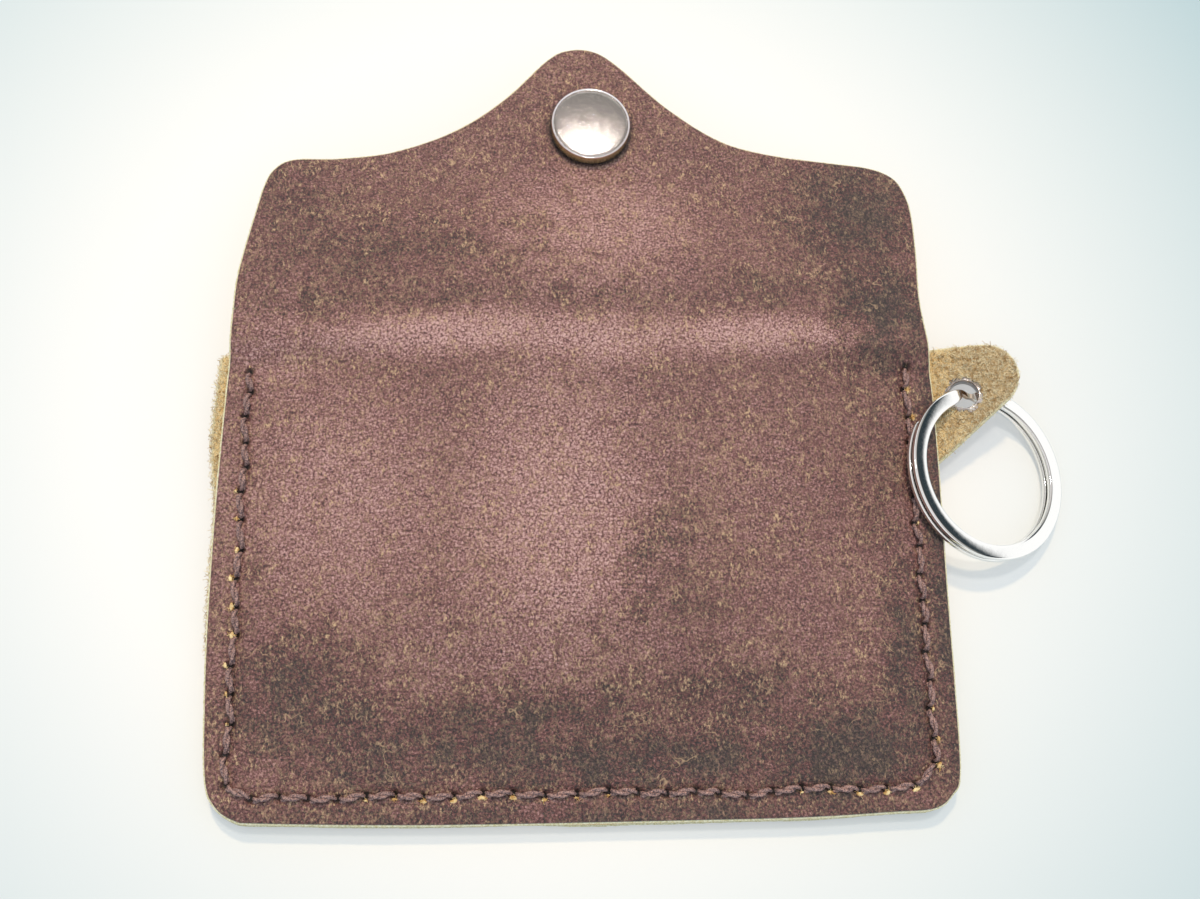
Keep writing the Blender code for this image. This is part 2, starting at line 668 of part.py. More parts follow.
def main():
    root = empty("wallet_as_it_lies", None, Matrix.Rotation(LIE, 4, "X"))
    spine = empty("spine_crease", root, Matrix.Translation((0, CREASE_Y, CREASE_Z)))
    level = Matrix.Rotation(-LIE, 4, "X")
    flap = empty("flap_crease", spine, Matrix.Translation((0, SPINE, 0)) @ level)

    ring_drop = RING_OD / 2 * sin(radians(RING_SLOPE)) + RING_TALL / 2 * cos(radians(RING_SLOPE))
    ring_side = -RING_MID_R * cos(radians(RING_BEARING)) * sin(radians(RING_SLOPE))
    table = -THREAD_PROUD * cos(LIE)
    eyelet_world = table + ring_drop + ring_side
    eyelet_z = (eyelet_world - EYELET[1] * sin(LIE)) / cos(LIE)
    out = EYELET[0] - TAB_ROOT_X
    mid = LEATHER / 2
    lift = asin(eyelet_z / hypot(out, mid)) - atan(mid / out)
    tab = empty("tab_root", root, Matrix.Translation((TAB_ROOT_X, 0, 0))
                @ Matrix.Rotation(-lift, 4, "Y"))
    at = Matrix.Translation((TAB_ROOT_X + out * cos(lift) - mid * sin(lift), EYELET[1], eyelet_z))
    slope = Matrix.Rotation(radians(RING_SLOPE), 4, "Y")
    swivel = empty("ring_swivel", root, at @ level @ slope)

    build_leather(root, spine, flap, tab)
    build_thread(root)
    build_snap(root, flap)
    build_eyelet(tab)
    build_ring(swivel)
    print("least gap between the ring's coils, mm:", round(ring_gap() / MM, 3))
    bpy.context.view_layer.update()
    rest_on_table(root)


clear_scene()
PARTS = collection(NAME)
CUTTERS = collection("cutters")
main()
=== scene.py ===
import json
from math import asin, atan2, cos, hypot, pi, radians, sin

import bmesh
import bpy
import numpy as np
from bpy.props import FloatProperty, FloatVectorProperty, IntProperty, PointerProperty
from mathutils import Matrix, Vector, noise
from mathutils.geometry import delaunay_2d_cdt


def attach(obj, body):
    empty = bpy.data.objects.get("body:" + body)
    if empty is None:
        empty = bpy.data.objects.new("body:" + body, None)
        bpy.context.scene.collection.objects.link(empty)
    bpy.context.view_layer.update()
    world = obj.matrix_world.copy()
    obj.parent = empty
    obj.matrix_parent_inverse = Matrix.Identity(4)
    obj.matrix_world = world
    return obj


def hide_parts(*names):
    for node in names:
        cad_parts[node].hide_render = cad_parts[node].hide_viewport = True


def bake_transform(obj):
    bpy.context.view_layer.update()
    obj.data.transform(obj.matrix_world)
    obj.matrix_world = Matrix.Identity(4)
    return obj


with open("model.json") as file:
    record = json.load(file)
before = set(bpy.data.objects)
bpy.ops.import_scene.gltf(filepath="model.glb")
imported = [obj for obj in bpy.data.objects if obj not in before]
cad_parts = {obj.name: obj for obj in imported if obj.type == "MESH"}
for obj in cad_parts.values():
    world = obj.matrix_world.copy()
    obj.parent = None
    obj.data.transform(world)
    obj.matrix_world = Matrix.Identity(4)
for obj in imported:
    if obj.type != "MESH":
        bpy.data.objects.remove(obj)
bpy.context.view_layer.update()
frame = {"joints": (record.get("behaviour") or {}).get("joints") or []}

bl_info = {
    "name": "Keychain Card Wallet",
    "version": (1, 0, 0),
    "blender": (4, 5, 0),
    "location": "3D View > Sidebar > Card Wallet",
    "description": "Dresses the hand-stitched card wallet with leather, thread and hardware",
    "category": "Object",
}

# Sizes of the wallet in millimetres, the same as in its solids
MM = 0.001
LEATHER = 1.5
GAP = 0.3
SEAM_HALF = 50.0
SEAM_Z = LEATHER + GAP
MOUTH_Y = 64.3
CREASE_Y = 66.8
SEAM_TOP = 61.5
MOUTH_LIFT = 1.8
CREASE_Z = SEAM_Z + MOUTH_LIFT
CROWN_LIFT = 4.7
CROWN_START = 3.5
CROWN_RUN = 26.0
CROWN_HALF = 47.5
FLAP_CROWN_RUN = 21.0
SPINE = 7.45
FLAP_Y = CREASE_Y + SPINE
SNAP_X = 1.3
SNAP_REACH = 28.05
SNAP_Y = CREASE_Y - SNAP_REACH
TAB_ROOT_X = 54.7
TAB_END = (63.4, 61.8)
TAB_END_R = 5.25
TAB_ROOT_H = 16.7
EYELET = (60.0, 58.9)
EYELET_BORE_R = 2.2
RING_OD = 27.6
RING_WIDTH = 2.3
RING_COIL = 0.85
RING_GAP = 0.42
RING_SLOPE = 16.8
RING_BEARING = 102.0
JOG_HALF = 10.5
SHOULDER_START = 16.5
SHOULDER_END = 3.0
THIN_WIRE = 0.36
COIL_END_LEFT = 42.0
COIL_END_RIGHT = 27.0
RING_PITCH = RING_COIL + RING_GAP
RING_MID_R = (RING_OD - RING_WIDTH) / 2

# The leather's mesh: spacing along the cut edge, rows inside it, clear ring round a bore
EDGE_STEP = 0.5
EDGE_LOOPS = (0.28, 0.42, 0.7)
HOLE_CLEAR = 0.7
# The cut edge: how far the grain draws back from it, and the radius it rounds over with
EDGE_INSET = 0.26
EDGE_ROUND = 0.3
# Beyond any piece, in millimetres
FAR = 1e3

# The cut edge of the back leather. Sides: millimetres outside the seam, then
# the share of the mouth's height or the millimetres beyond the flap's crease.
LEFT_SIDE = ((3.0, 0.040), (3.7, 0.202), (4.0, 0.389), (3.9, 0.653), (3.4, 0.902), (3.0, 1.011))
LEFT_FLAP = ((2.6, -0.2), (1.9, 4.75), (0.6, 11.25), (-0.6, 16.75))
RIGHT_SIDE = ((3.8, 0.031), (4.1, 0.218), (4.2, 0.451), (4.5, 0.747), (4.4, 0.933), (3.7, 1.042))
RIGHT_FLAP = ((3.0, -0.2), (3.2, 7.75), (3.0, 14.75), (2.0, 18.75))
FLAP_TOP = ((-0.96, 19.75), (-0.90, 21.55), (-0.76, 21.95), (-0.59, 23.45), (-0.404, 27.45),
            (-0.246, 33.55), (-0.112, 40.85), (-0.04, 42.95), (0.044, 42.85), (0.124, 40.15),
            (0.28, 32.65), (0.45, 26.95), (0.626, 24.55), (0.81, 23.45), (0.93, 22.75),
            (1.004, 21.25))
BOTTOM = ((1.048, -1.2), (0.99, -3.2), (0.86, -3.6), (0.6, -4.1), (0.2, -4.2), (-0.3, -4.2),
          (-0.6, -4.0), (-0.91, -3.5), (-0.972, -3.1), (-1.028, -1.2))

# Stitch holes, pricked by hand: down the left, along the bottom, up the right
LEFT_HOLES = (61.2, 58.1, 54.4, 50.3, 46.7, 43.0, 38.9, 34.4, 30.3, 26.2, 22.3, 18.0, 14.1, 10.0,
              5.9, 1.9)
BOTTOM_HOLES = (-46.5, -42.7, -38.8, -34.8, -30.9, -26.9, -23.1, -18.9, -14.9, -10.7, -6.3, -1.8,
                2.6, 6.8, 10.9, 15.0, 18.4, 22.3, 26.0, 30.2, 34.4, 38.5, 42.5, 46.7)
RIGHT_HOLES = (3.2, 6.7, 11.0, 15.0, 19.1, 23.2, 26.7, 30.6, 34.9, 38.4, 42.6, 46.8, 51.0, 55.0,
               59.5, 63.1)

# Where the grain is darker or paler, laid flat: middle across and up, half lengths, turn in degrees,
# depth. The darker marks are partly darkening from handling and partly painted shade, along the seams
# and on slopes that face away from the light. The paler ones are partly rubbing at the fold and partly
# painted sheen where the light's reflection falls.
CHARCOAL_AND_SHADE = ((38, 5, 13, 6.0, 12, 0.86), (8, 4, 22, 4.0, 2, 0.8), (46.5, 17, 3.2, 16, 0, 0.7),
            (-42, 13, 8, 8, 30, 0.66), (-31, 7, 9, 6, -25, 0.66), (-14, 7.5, 15, 5, 0, 0.7),
            (-4, 10, 11, 4.5, 0, 0.66), (9, 32, 4.0, 8, -30, 0.5), (44, 88, 11, 11, -15, 0.68),
            (47, 72, 8, 9, 0, 0.74), (-43, 71.5, 9, 2.6, 8, 0.4), (-24, 72.6, 13, 2.4, 4, 0.3),
            (6, 73, 20, 2.6, 0, 0.24), (46, 45, 5, 14, 0, 0.3), (-47, 20, 3, 12, 0, 0.3),
            (-45, 88, 8, 8, 0, 0.4), (-30, 80, 20, 5, 5, 0.42), (54, 30, 2.6, 34, 0, 0.82),
            (24, 12, 14, 5, -8, 0.5), (0, -3, 52, 2, 0, 0.55), (30, 74, 14, 3, 2, 0.36),
            (10, 25, 9, 4, 10, 0.35))
RUBBED_AND_SHEEN = ((-21, 66.4, 17, 2.8, 2, 0.95), (24, 66.9, 17, 2.5, 3, 0.92),
          (0, 65.8, 13, 3.2, -3, 0.85), (-45, 64, 8, 6, 0, 0.45), (-36, 42, 13, 15, 20, 0.6),
          (-5, 38, 12, 19, 0, 0.72), (2, 85, 13, 9, 0, 0.66), (2, 57, 13, 8, 0, 0.1),
          (-46, 6, 4, 3, 0, 0.25), (34, 27, 12, 11, 0, 0.2), (22, 20, 12, 5, 0, 0.15),
          (-52, 28, 1.8, 26, 0, 0.15), (24, 45, 10, 12, 0, 0.25), (22, 82, 9, 5, -20, 0.1),
          (-22, 22, 12, 8, 0, 0.3), (-20, 80, 12, 6, 0, 0.05))

# Rows down a cut edge: share of its height, and how far it stands proud in millimetres
EDGE_ROWS = ((0.12, 0.2), (0.5, 0.12))

JOINTS = {joint["name"]: joint for joint in frame["joints"]}
SPINE_HINGE = Vector(JOINTS["spine_fold"]["pos_m"])
FLAP_HINGE = Vector(JOINTS["flap_fold"]["pos_m"])
EYELET_AT = Vector(JOINTS["ring_swivel"]["pos_m"])
LIE = atan2(JOINTS["tab_bend"]["axis"][2], JOINTS["tab_bend"]["axis"][1])
TAB_LIFT = asin(-JOINTS["ring_swivel"]["axis"][0])
# The pocket's own frame: X across, Y up from the bottom seam, Z from the front face to the back
POCKET = (Matrix.Translation(SPINE_HINGE) @ Matrix.Rotation(LIE, 4, "X")
          @ Matrix.Translation((0, -CREASE_Y * MM, -CREASE_Z * MM)))
FLAP = Matrix.Translation(FLAP_HINGE)
TAB = POCKET @ Matrix.Translation((TAB_ROOT_X * MM, 0, 0)) @ Matrix.Rotation(-TAB_LIFT, 4, "Y")
RING = Matrix.Translation(EYELET_AT) @ Matrix.Rotation(radians(RING_SLOPE), 4, "Y")

# What polished metal mirrors, by height: a bright table and walls, a dim band, a lit ceiling
MIRRORED = ((0.0, (1.15,) * 3), (0.532, (1.15,) * 3), (0.554, (0.03, 0.045, 0.055)),
            (0.62, (0.05, 0.06, 0.065)), (0.72, (0.40, 0.40, 0.37)), (0.86, (0.73, 0.66, 0.66)),
            (0.95, (0.98, 0.95, 0.97)), (1.0, (1.05,) * 3))

# The camera, in the pocket's frame raised to the back panel's grain: millimetres and degrees
CAMERA_AT = (-13.3, 4.4, 175.6)
CAMERA_PITCH, CAMERA_YAW, CAMERA_ROLL = 74.79, -18.91, 18.66
CAMERA_LENS = 36.39


def linear(code):
    """An sRGB hex colour as linear values."""
    parts = [int(code[i:i + 2], 16) / 255 for i in (1, 3, 5)]
    return [c / 12.92 if c <= 0.04045 else ((c + 0.055) / 1.055) ** 2.4 for c in parts]


def feed(tree, sockets, values):
    """Links an output to each socket named, or sets the socket's plain value."""
    for key, value in values.items():
        value = getattr(value, "socket", value)
        if isinstance(value, bpy.types.NodeSocket):
            tree.links.new(value, sockets[key])
        else:
            sockets[key].default_value = value


def add(tree, kind, inputs=None, stops=None, out=0, **settings):
    """One node with its settings, its plain values and its links, as a wire from one output."""
    node = tree.nodes.new(kind)
    for key, value in settings.items():
        setattr(node, key, value)
    if stops:
        ramp = node.color_ramp.elements
        ramp[0].position, ramp[1].position = stops[0][0], stops[-1][0]
        ramp[0].color, ramp[1].color = (*stops[0][1], 1.0), (*stops[-1][1], 1.0)
        for at, shade in stops[1:-1]:
            ramp.new(at).color = (*shade, 1.0)
    feed(tree, node.inputs, inputs or {})
    return Wire(tree, node.outputs[out])


class Wire:
    """A node's output. Sums of wires and numbers become Math nodes."""

    def __init__(self, tree, socket):
        self.tree, self.socket = tree, socket

    def maths(self, operation, *values):
        return add(self.tree, "ShaderNodeMath", dict(enumerate(values)), operation=operation)

    def __add__(self, other):
        return self.maths("ADD", self, other)

    def __sub__(self, other):
        return self.maths("SUBTRACT", self, other)

    def __rsub__(self, other):
        return self.maths("SUBTRACT", other, self)

    def __mul__(self, other):
        return self.maths("MULTIPLY", self, other)

    def __abs__(self):
        return self.maths("ABSOLUTE", self)

    def mask(self, low, high, start=0.0, stop=1.0):
        """The values between low and high spread to run from start to stop."""
        return add(self.tree, "ShaderNodeMapRange", {
            "Value": self, "From Min": low, "From Max": high, "To Min": start, "To Max": stop})

    def mix(self, a, b):
        """The colour a, with this wire's share of the colour b."""
        a, b = (c if isinstance(c, Wire) else (*c, 1.0) for c in (a, b))
        return add(self.tree, "ShaderNodeMix", {0: self, 6: a, 7: b}, out=2, data_type="RGBA")


def new_material(name):
    """A named material and its tree."""
    made = bpy.data.materials.new(name)
    made.use_nodes = True
    return made, made.node_tree


def dress(made, values, relief=None):
    """Feeds a material's shader. Relief: a height, its strength and its depth in millimetres."""
    tree = made.node_tree
    if relief:
        height, strength, depth = relief
        values["Normal"] = add(tree, "ShaderNodeBump", {
            "Height": height, "Strength": strength, "Distance": depth * MM})
    feed(tree, tree.nodes["Principled BSDF"].inputs, values)
    return made


def place_of(tree, flat=True):
    """Place in millimetres, on the leather laid flat or in the object."""
    place = (add(tree, "ShaderNodeAttribute", out="Vector", attribute_name="flat") if flat
             else add(tree, "ShaderNodeTexCoord", out="Object"))
    return add(tree, "ShaderNodeVectorMath", {0: place, 1: (1 / MM,) * 3}, operation="MULTIPLY")


def share_of(tree, name):
    return add(tree, "ShaderNodeAttribute", out="Fac", attribute_name=name)


def spots(place, size, detail, rough, shift=0.0, stretch=(1, 1, 1), turn=0.0):
    """Noise whose blotches are about the given size in millimetres."""
    if shift:
        place = add(place.tree, "ShaderNodeMapping", {
            "Vector": place, "Location": (shift, shift * 0.7, 0), "Rotation": (0, 0, radians(turn)),
            "Scale": stretch})
    return add(place.tree, "ShaderNodeTexNoise", {
        "Vector": place, "Scale": 1 / size, "Detail": detail, "Roughness": rough})


def grain_leather(props):
    """Waxed cowhide, distressed: purplish brown dye in paler and darker clouds, partly rubbed and
    darkened by handling and partly painted sheen and painted shade. It is pebbled all over, with
    painted shade in the creases and painted glints on the pebbles, and the tan of the hide shows
    through in fine flecks."""
    made, tree = new_material("Distressed waxed cowhide, grain side")
    place = place_of(tree)
    cloud = spots(place, 12.0, 4.0, 0.6)
    patch = spots(place, 3.4, 4.0, 0.62, shift=31)
    mottle = spots(place, 1.3, 3.0, 0.6, shift=73)
    fine = spots(place, 0.38, 2.0, 0.7, shift=5)
    # A net of creases between the pebbles, its cells bent by a slow drift
    drift = add(tree, "ShaderNodeTexNoise", {"Vector": place, "Scale": 1 / 0.9, "Detail": 1.0},
                out="Color")
    bent = add(tree, "ShaderNodeVectorMath", {0: drift, 1: (0.9, 0.9, 0.0), 2: place},
               operation="MULTIPLY_ADD")
    cell = add(tree, "ShaderNodeTexVoronoi", {"Vector": bent, "Scale": 1 / 0.66}, out="Distance",
               feature="DISTANCE_TO_EDGE", voronoi_dimensions="2D")
    # Darker and paler clouds with ragged outlines: handling's marks, and painted shade and painted
    # sheen
    ragged = (patch - 0.5) * 1.7 + (cloud - 0.5) * 0.8
    coal_and_shade = (share_of(tree, "charcoal") + ragged).mask(0.12, 0.95)
    rubbed = (share_of(tree, "rubbed") - ragged * 0.7).mask(0.05, 0.95)
    # Painted shade in the creases between the pebbles, and painted glints on the pebbles, both
    # strongest where the grain is paler from rubbing and painted sheen
    crease = cell.mask(0.16, 0.02) * (rubbed * 0.22 + 0.1)
    pebble_tone_and_glint = (fine - 0.5) * (rubbed * 0.9 + 1.6)
    # One tone, 0 dark to 1 light
    tone = (pebble_tone_and_glint + 0.44 - crease + (cloud - 0.5) * 0.3 + (patch - 0.5) * 0.25
            + (mottle - 0.5) * 0.42 + rubbed * 0.42 - coal_and_shade * 0.4)
    body = add(tree, "ShaderNodeValToRGB", {"Fac": tone}, stops=[
        (0.0, props.grain_charcoal_and_shade), (0.26, props.grain_dark), (0.5, props.grain_mid),
        (0.74, props.grain_rubbed_and_sheen), (1.0, props.grain_shine_highlight)])
    # Where the darkening is strongest, the tone runs through greyer browns. This darkening is partly
    # from handling and partly painted shade.
    coal_and_shade_tone = tone.mix(linear("#342b29"), linear("#977e74"))
    body = (coal_and_shade.mask(0.6, 1.15) * 0.9).mix(body, coal_and_shade_tone)
    # Tan of the hide: fine flecks that keep together, broken veins and a few hairline scuffs
    fleck = spots(place, 0.34, 3.0, 0.7, shift=17, stretch=(1, 0.6, 1), turn=35)
    gather = spots(place, 1.0, 2.0, 0.6, shift=91)
    shows = fleck.mask(0.48, 0.7) * (patch.mask(0.36, 0.64) + 0.2) * (gather.mask(0.42, 0.62) + 0.25)
    vein = abs(spots(place, 1.9, 2.0, 0.6, shift=83) - 0.5).mask(0.05, 0.0)
    vein = vein * fleck.mask(0.4, 0.55) * cloud.mask(0.4, 0.6) * 0.4
    shows = shows.maths("MAXIMUM", shows, vein)
    shows = shows * (0.95 - (rubbed * 0.15 + coal_and_shade.mask(0.35, 0.95) * 0.6))
    scuff = abs(spots(place, 7.0, 3.0, 0.55, shift=47) - 0.5).mask(0.008, 0.001)
    scuff = scuff * spots(place, 5.0, 2.0, 0.5, shift=61).mask(0.56, 0.66) * 0.5
    # The stitch holes and the foot of the snap cap are painted near black: painted shade in the holes,
    # and dirt with painted contact shadow at the cap
    for share, shade in ((shows, props.grain_fleck), (scuff, props.grain_fleck),
                         (share_of(tree, "pit"), linear("#120e0d"))):
        body = share.mix(body, shade)
    return dress(made, {"Base Color": body, "Roughness": patch.mask(0.3, 0.7, 0.42, 0.54)},
                 (cell.mask(0.0, 0.22) * 0.6 + fine * 0.7, 0.75, 0.11))


def flesh_leather(props):
    """Flesh side of the same hide, undyed: a matt mat of pale fibres with brown gaps between."""
    made, tree = new_material("Undyed flesh side of cowhide")
    place = place_of(tree)
    curl, fibre = (add(tree, "ShaderNodeTexNoise", {
        "Vector": place, "Scale": 1 / size, "Detail": 2.0, "Roughness": 0.6, "Distortion": bend})
        for size, bend in ((0.55, 1.6), (0.28, 2.2)))
    cloud = spots(place, 3.0, 3.0, 0.6)
    body = cloud.mask(0.3, 0.7).mix(props.flesh_pale, props.flesh_deep)
    soiled = share_of(tree, "soiled") * cloud.mask(0.0, 0.6)
    # The stitch holes are painted dark: painted shade
    for share, shade in ((soiled, props.flesh_soiled), (curl.mask(0.49, 0.35) * 0.7, props.flesh_gap),
                         (fibre.mask(0.52, 0.66) * 0.7, linear("#f4e7c2")),
                         (share_of(tree, "pit"), linear("#2a2018"))):
        body = share.mix(body, shade)
    return dress(made, {"Base Color": body, "Roughness": 0.95, "Specular IOR Level": 0.25},
                 (fibre + curl, 0.7, 0.12))


def cut_edge(props):
    """Raw cut edge: pale yellow core of the hide, left unburnished, with loose fibre ends."""
    made, tree = new_material("Raw cut edge of cowhide")
    fibre = spots(place_of(tree), 0.3, 3.0, 0.6)
    body = fibre.mask(0.35, 0.65).mix(props.edge_pale, props.edge_deep)
    return dress(made, {"Base Color": body, "Roughness": 0.9}, (fibre, 0.6, 0.1))


def hide_fibres(name, size, low, high, dark, pale, values):
    """Single fibres of the hide, darker and paler in patches of the given size."""
    made, tree = new_material(name)
    patch = spots(place_of(tree, flat=False), size, 2.0, 0.6).mask(low, high)
    return dress(made, {"Base Color": patch.mix(linear(dark), linear(pale)), **values})


def waxed_thread(props):
    """Waxed linen thread: twisted plies, brown, with a dull wax shine, streaked along its fibres with
    painted shade between them and painted light on them.
    """
    made, tree = new_material("Waxed linen thread")
    fibre = spots(place_of(tree, flat=False), 0.22, 2.0, 0.6)
    body = fibre.mask(0.35, 0.68).mix(props.thread_shade_tone, props.thread_lit_tone)
    return dress(made, {"Base Color": body, "Roughness": 0.5}, (fibre, 0.5, 0.05))


def plated_metal(name, colour, roughness, scratch, size, wear_and_shade=None, relief=0.03):
    """Polished plate over brass or steel. The fine rub marks give it a soft, uneven mirror. Where a
    second colour is given, an attribute with the same name as that argument mixes it in: brass showing
    through worn plate on the snap cap, and painted shade with a painted reflection of the leather on
    the ring inside the eyelet."""
    made, tree = new_material(name)
    marks = spots(place_of(tree, flat=False), size, 4.0, 0.65)
    body = (*colour, 1.0) if wear_and_shade is None else share_of(tree, "wear_and_shade").mix(colour, wear_and_shade)
    return dress(made, {"Base Color": body, "Metallic": 1.0,
                        "Roughness": marks.mask(0.3, 0.7, roughness * 0.7, roughness * 1.4)},
                 (marks, scratch, relief))


def smooth_rise(start, end, value):
    """0 before the start and 1 after the end, smooth between them."""
    t = np.clip((value - start) / (end - start), 0.0, 1.0)
    return t * t * (3 - 2 * t)


def across(x):
    """Share of the crown that is left at each place across."""
    share = np.minimum(np.abs(x) / CROWN_HALF, 1.0)
    return (1 - share ** 3) ** 2


def pocket_rise(x, y):
    """How far the back panel stands above its seams."""
    edge = MOUTH_LIFT * smooth_rise(SEAM_TOP, CREASE_Y, y)
    crown = CROWN_LIFT * smooth_rise(CROWN_START, CROWN_START + CROWN_RUN, y)
    return edge + (crown - edge) * across(x)


def to_frame(matrix, x, y, z):
    """Arrays of millimetres in a piece's frame as points in the row frame."""
    points = np.stack([x, y, z, np.full_like(x, 1 / MM)], axis=1) * MM
    return points @ np.array(matrix).T[:, :3]


def wander(points, size, seed):
    """Smooth unevenness, about -1 to 1, over blotches of the given size."""
    return np.array([noise.noise(Vector((x / size + seed, y / size - seed, seed * 1.7)))
                     for x, y in points])


def round_spline(points, steps=12):
    """Closed smooth curve through the points."""
    ring = np.array(points)
    a, b, c, d = (np.roll(ring, k, axis=0) for k in (1, 0, -1, -2))
    made = []
    for i in range(len(ring)):
        for s in range(steps):
            t = s / steps
            made.append(0.5 * (2 * b[i] + (c[i] - a[i]) * t
                               + (2 * a[i] - 5 * b[i] + 4 * c[i] - d[i]) * t * t
                               + (3 * b[i] - a[i] - 3 * c[i] + d[i]) * t ** 3))
    return np.array(made)


def evenly(loop, step):
    """A closed loop again, with points about one step apart."""
    closed = np.vstack([loop, loop[:1]])
    walked = np.concatenate([[0], np.cumsum(np.hypot(*np.diff(closed, axis=0).T))])
    count = round(walked[-1] / step)
    at = np.arange(count) * walked[-1] / count
    return np.stack([np.interp(at, walked, closed[:, i]) for i in (0, 1)], axis=1)


def outward(loop):
    """Unit normals of a closed loop, pointing out of it."""
    run = np.roll(loop, -1, axis=0) - np.roll(loop, 1, axis=0)
    normal = np.stack([run[:, 1], -run[:, 0]], axis=1)
    normal /= np.linalg.norm(normal, axis=1)[:, None]
    area = np.sum(loop[:, 0] * np.roll(loop[:, 1], -1) - np.roll(loop[:, 0], -1) * loop[:, 1])
    return normal * np.sign(area)


def to_edge(points, loop):
    """Distance of each point to the closed loop."""
    a, b = loop, np.roll(loop, -1, axis=0)
    run = b - a
    square = np.sum(run * run, axis=1)
    made = np.empty(len(points))
    for i in range(0, len(points), 2000):
        p = points[i:i + 2000, None, :] - a[None]
        t = np.clip(np.sum(p * run[None], axis=2) / square, 0, 1)
        made[i:i + 2000] = np.sqrt(np.min(np.sum((p - t[..., None] * run[None]) ** 2, axis=2), axis=1))
    return made


def within(points, loop):
    """Which points lie inside the closed loop."""
    a, b = loop, np.roll(loop, -1, axis=0)
    made = np.zeros(len(points), bool)
    for p, q in zip(a, b):
        crosses = (p[1] > points[:, 1]) != (q[1] > points[:, 1])
        if crosses.any():
            x = (q[0] - p[0]) * (points[:, 1] - p[1]) / (q[1] - p[1] + 1e-12) + p[0]
            made ^= crosses & (points[:, 0] < x)
    return made


def back_edge():
    """Cut edge of the back leather, laid flat, in millimetres."""
    def side(sign, pocket, flap):
        return ([(sign * (SEAM_HALF + out), share * MOUTH_Y) for out, share in pocket]
                + [(sign * (SEAM_HALF + out), FLAP_Y + up) for out, up in flap])
    points = (side(-1, LEFT_SIDE, LEFT_FLAP) + [(s * SEAM_HALF, FLAP_Y + up) for s, up in FLAP_TOP]
              + side(1, RIGHT_SIDE, RIGHT_FLAP)[::-1] + [(s * SEAM_HALF, up) for s, up in BOTTOM])
    return round_spline(points)


def stitch_holes():
    """Stitch holes in the order of sewing, laid flat."""
    left = [(-SEAM_HALF + 0.35 * sin(2.1 * i), y) for i, y in enumerate(LEFT_HOLES)]
    bottom = [(x, 0.25 * sin(1.7 * i) - 0.9 * np.exp(-((x - 20.4) / 2.6) ** 2))
              for i, x in enumerate(BOTTOM_HOLES)]
    right = [(SEAM_HALF + 0.3 * sin(2.6 * i), y) for i, y in enumerate(RIGHT_HOLES)]
    return np.array(left + bottom + right)


def circle(centre, radius, count):
    """Points round a centre."""
    turns = (2 * pi * k / count for k in range(count))
    return [(centre[0] + radius * cos(a), centre[1] + radius * sin(a)) for a in turns]


def away_from(places, centre, radius):
    """Which places are farther from a centre than the radius."""
    return np.hypot(places[:, 0] - centre[0], places[:, 1] - centre[1]) > radius


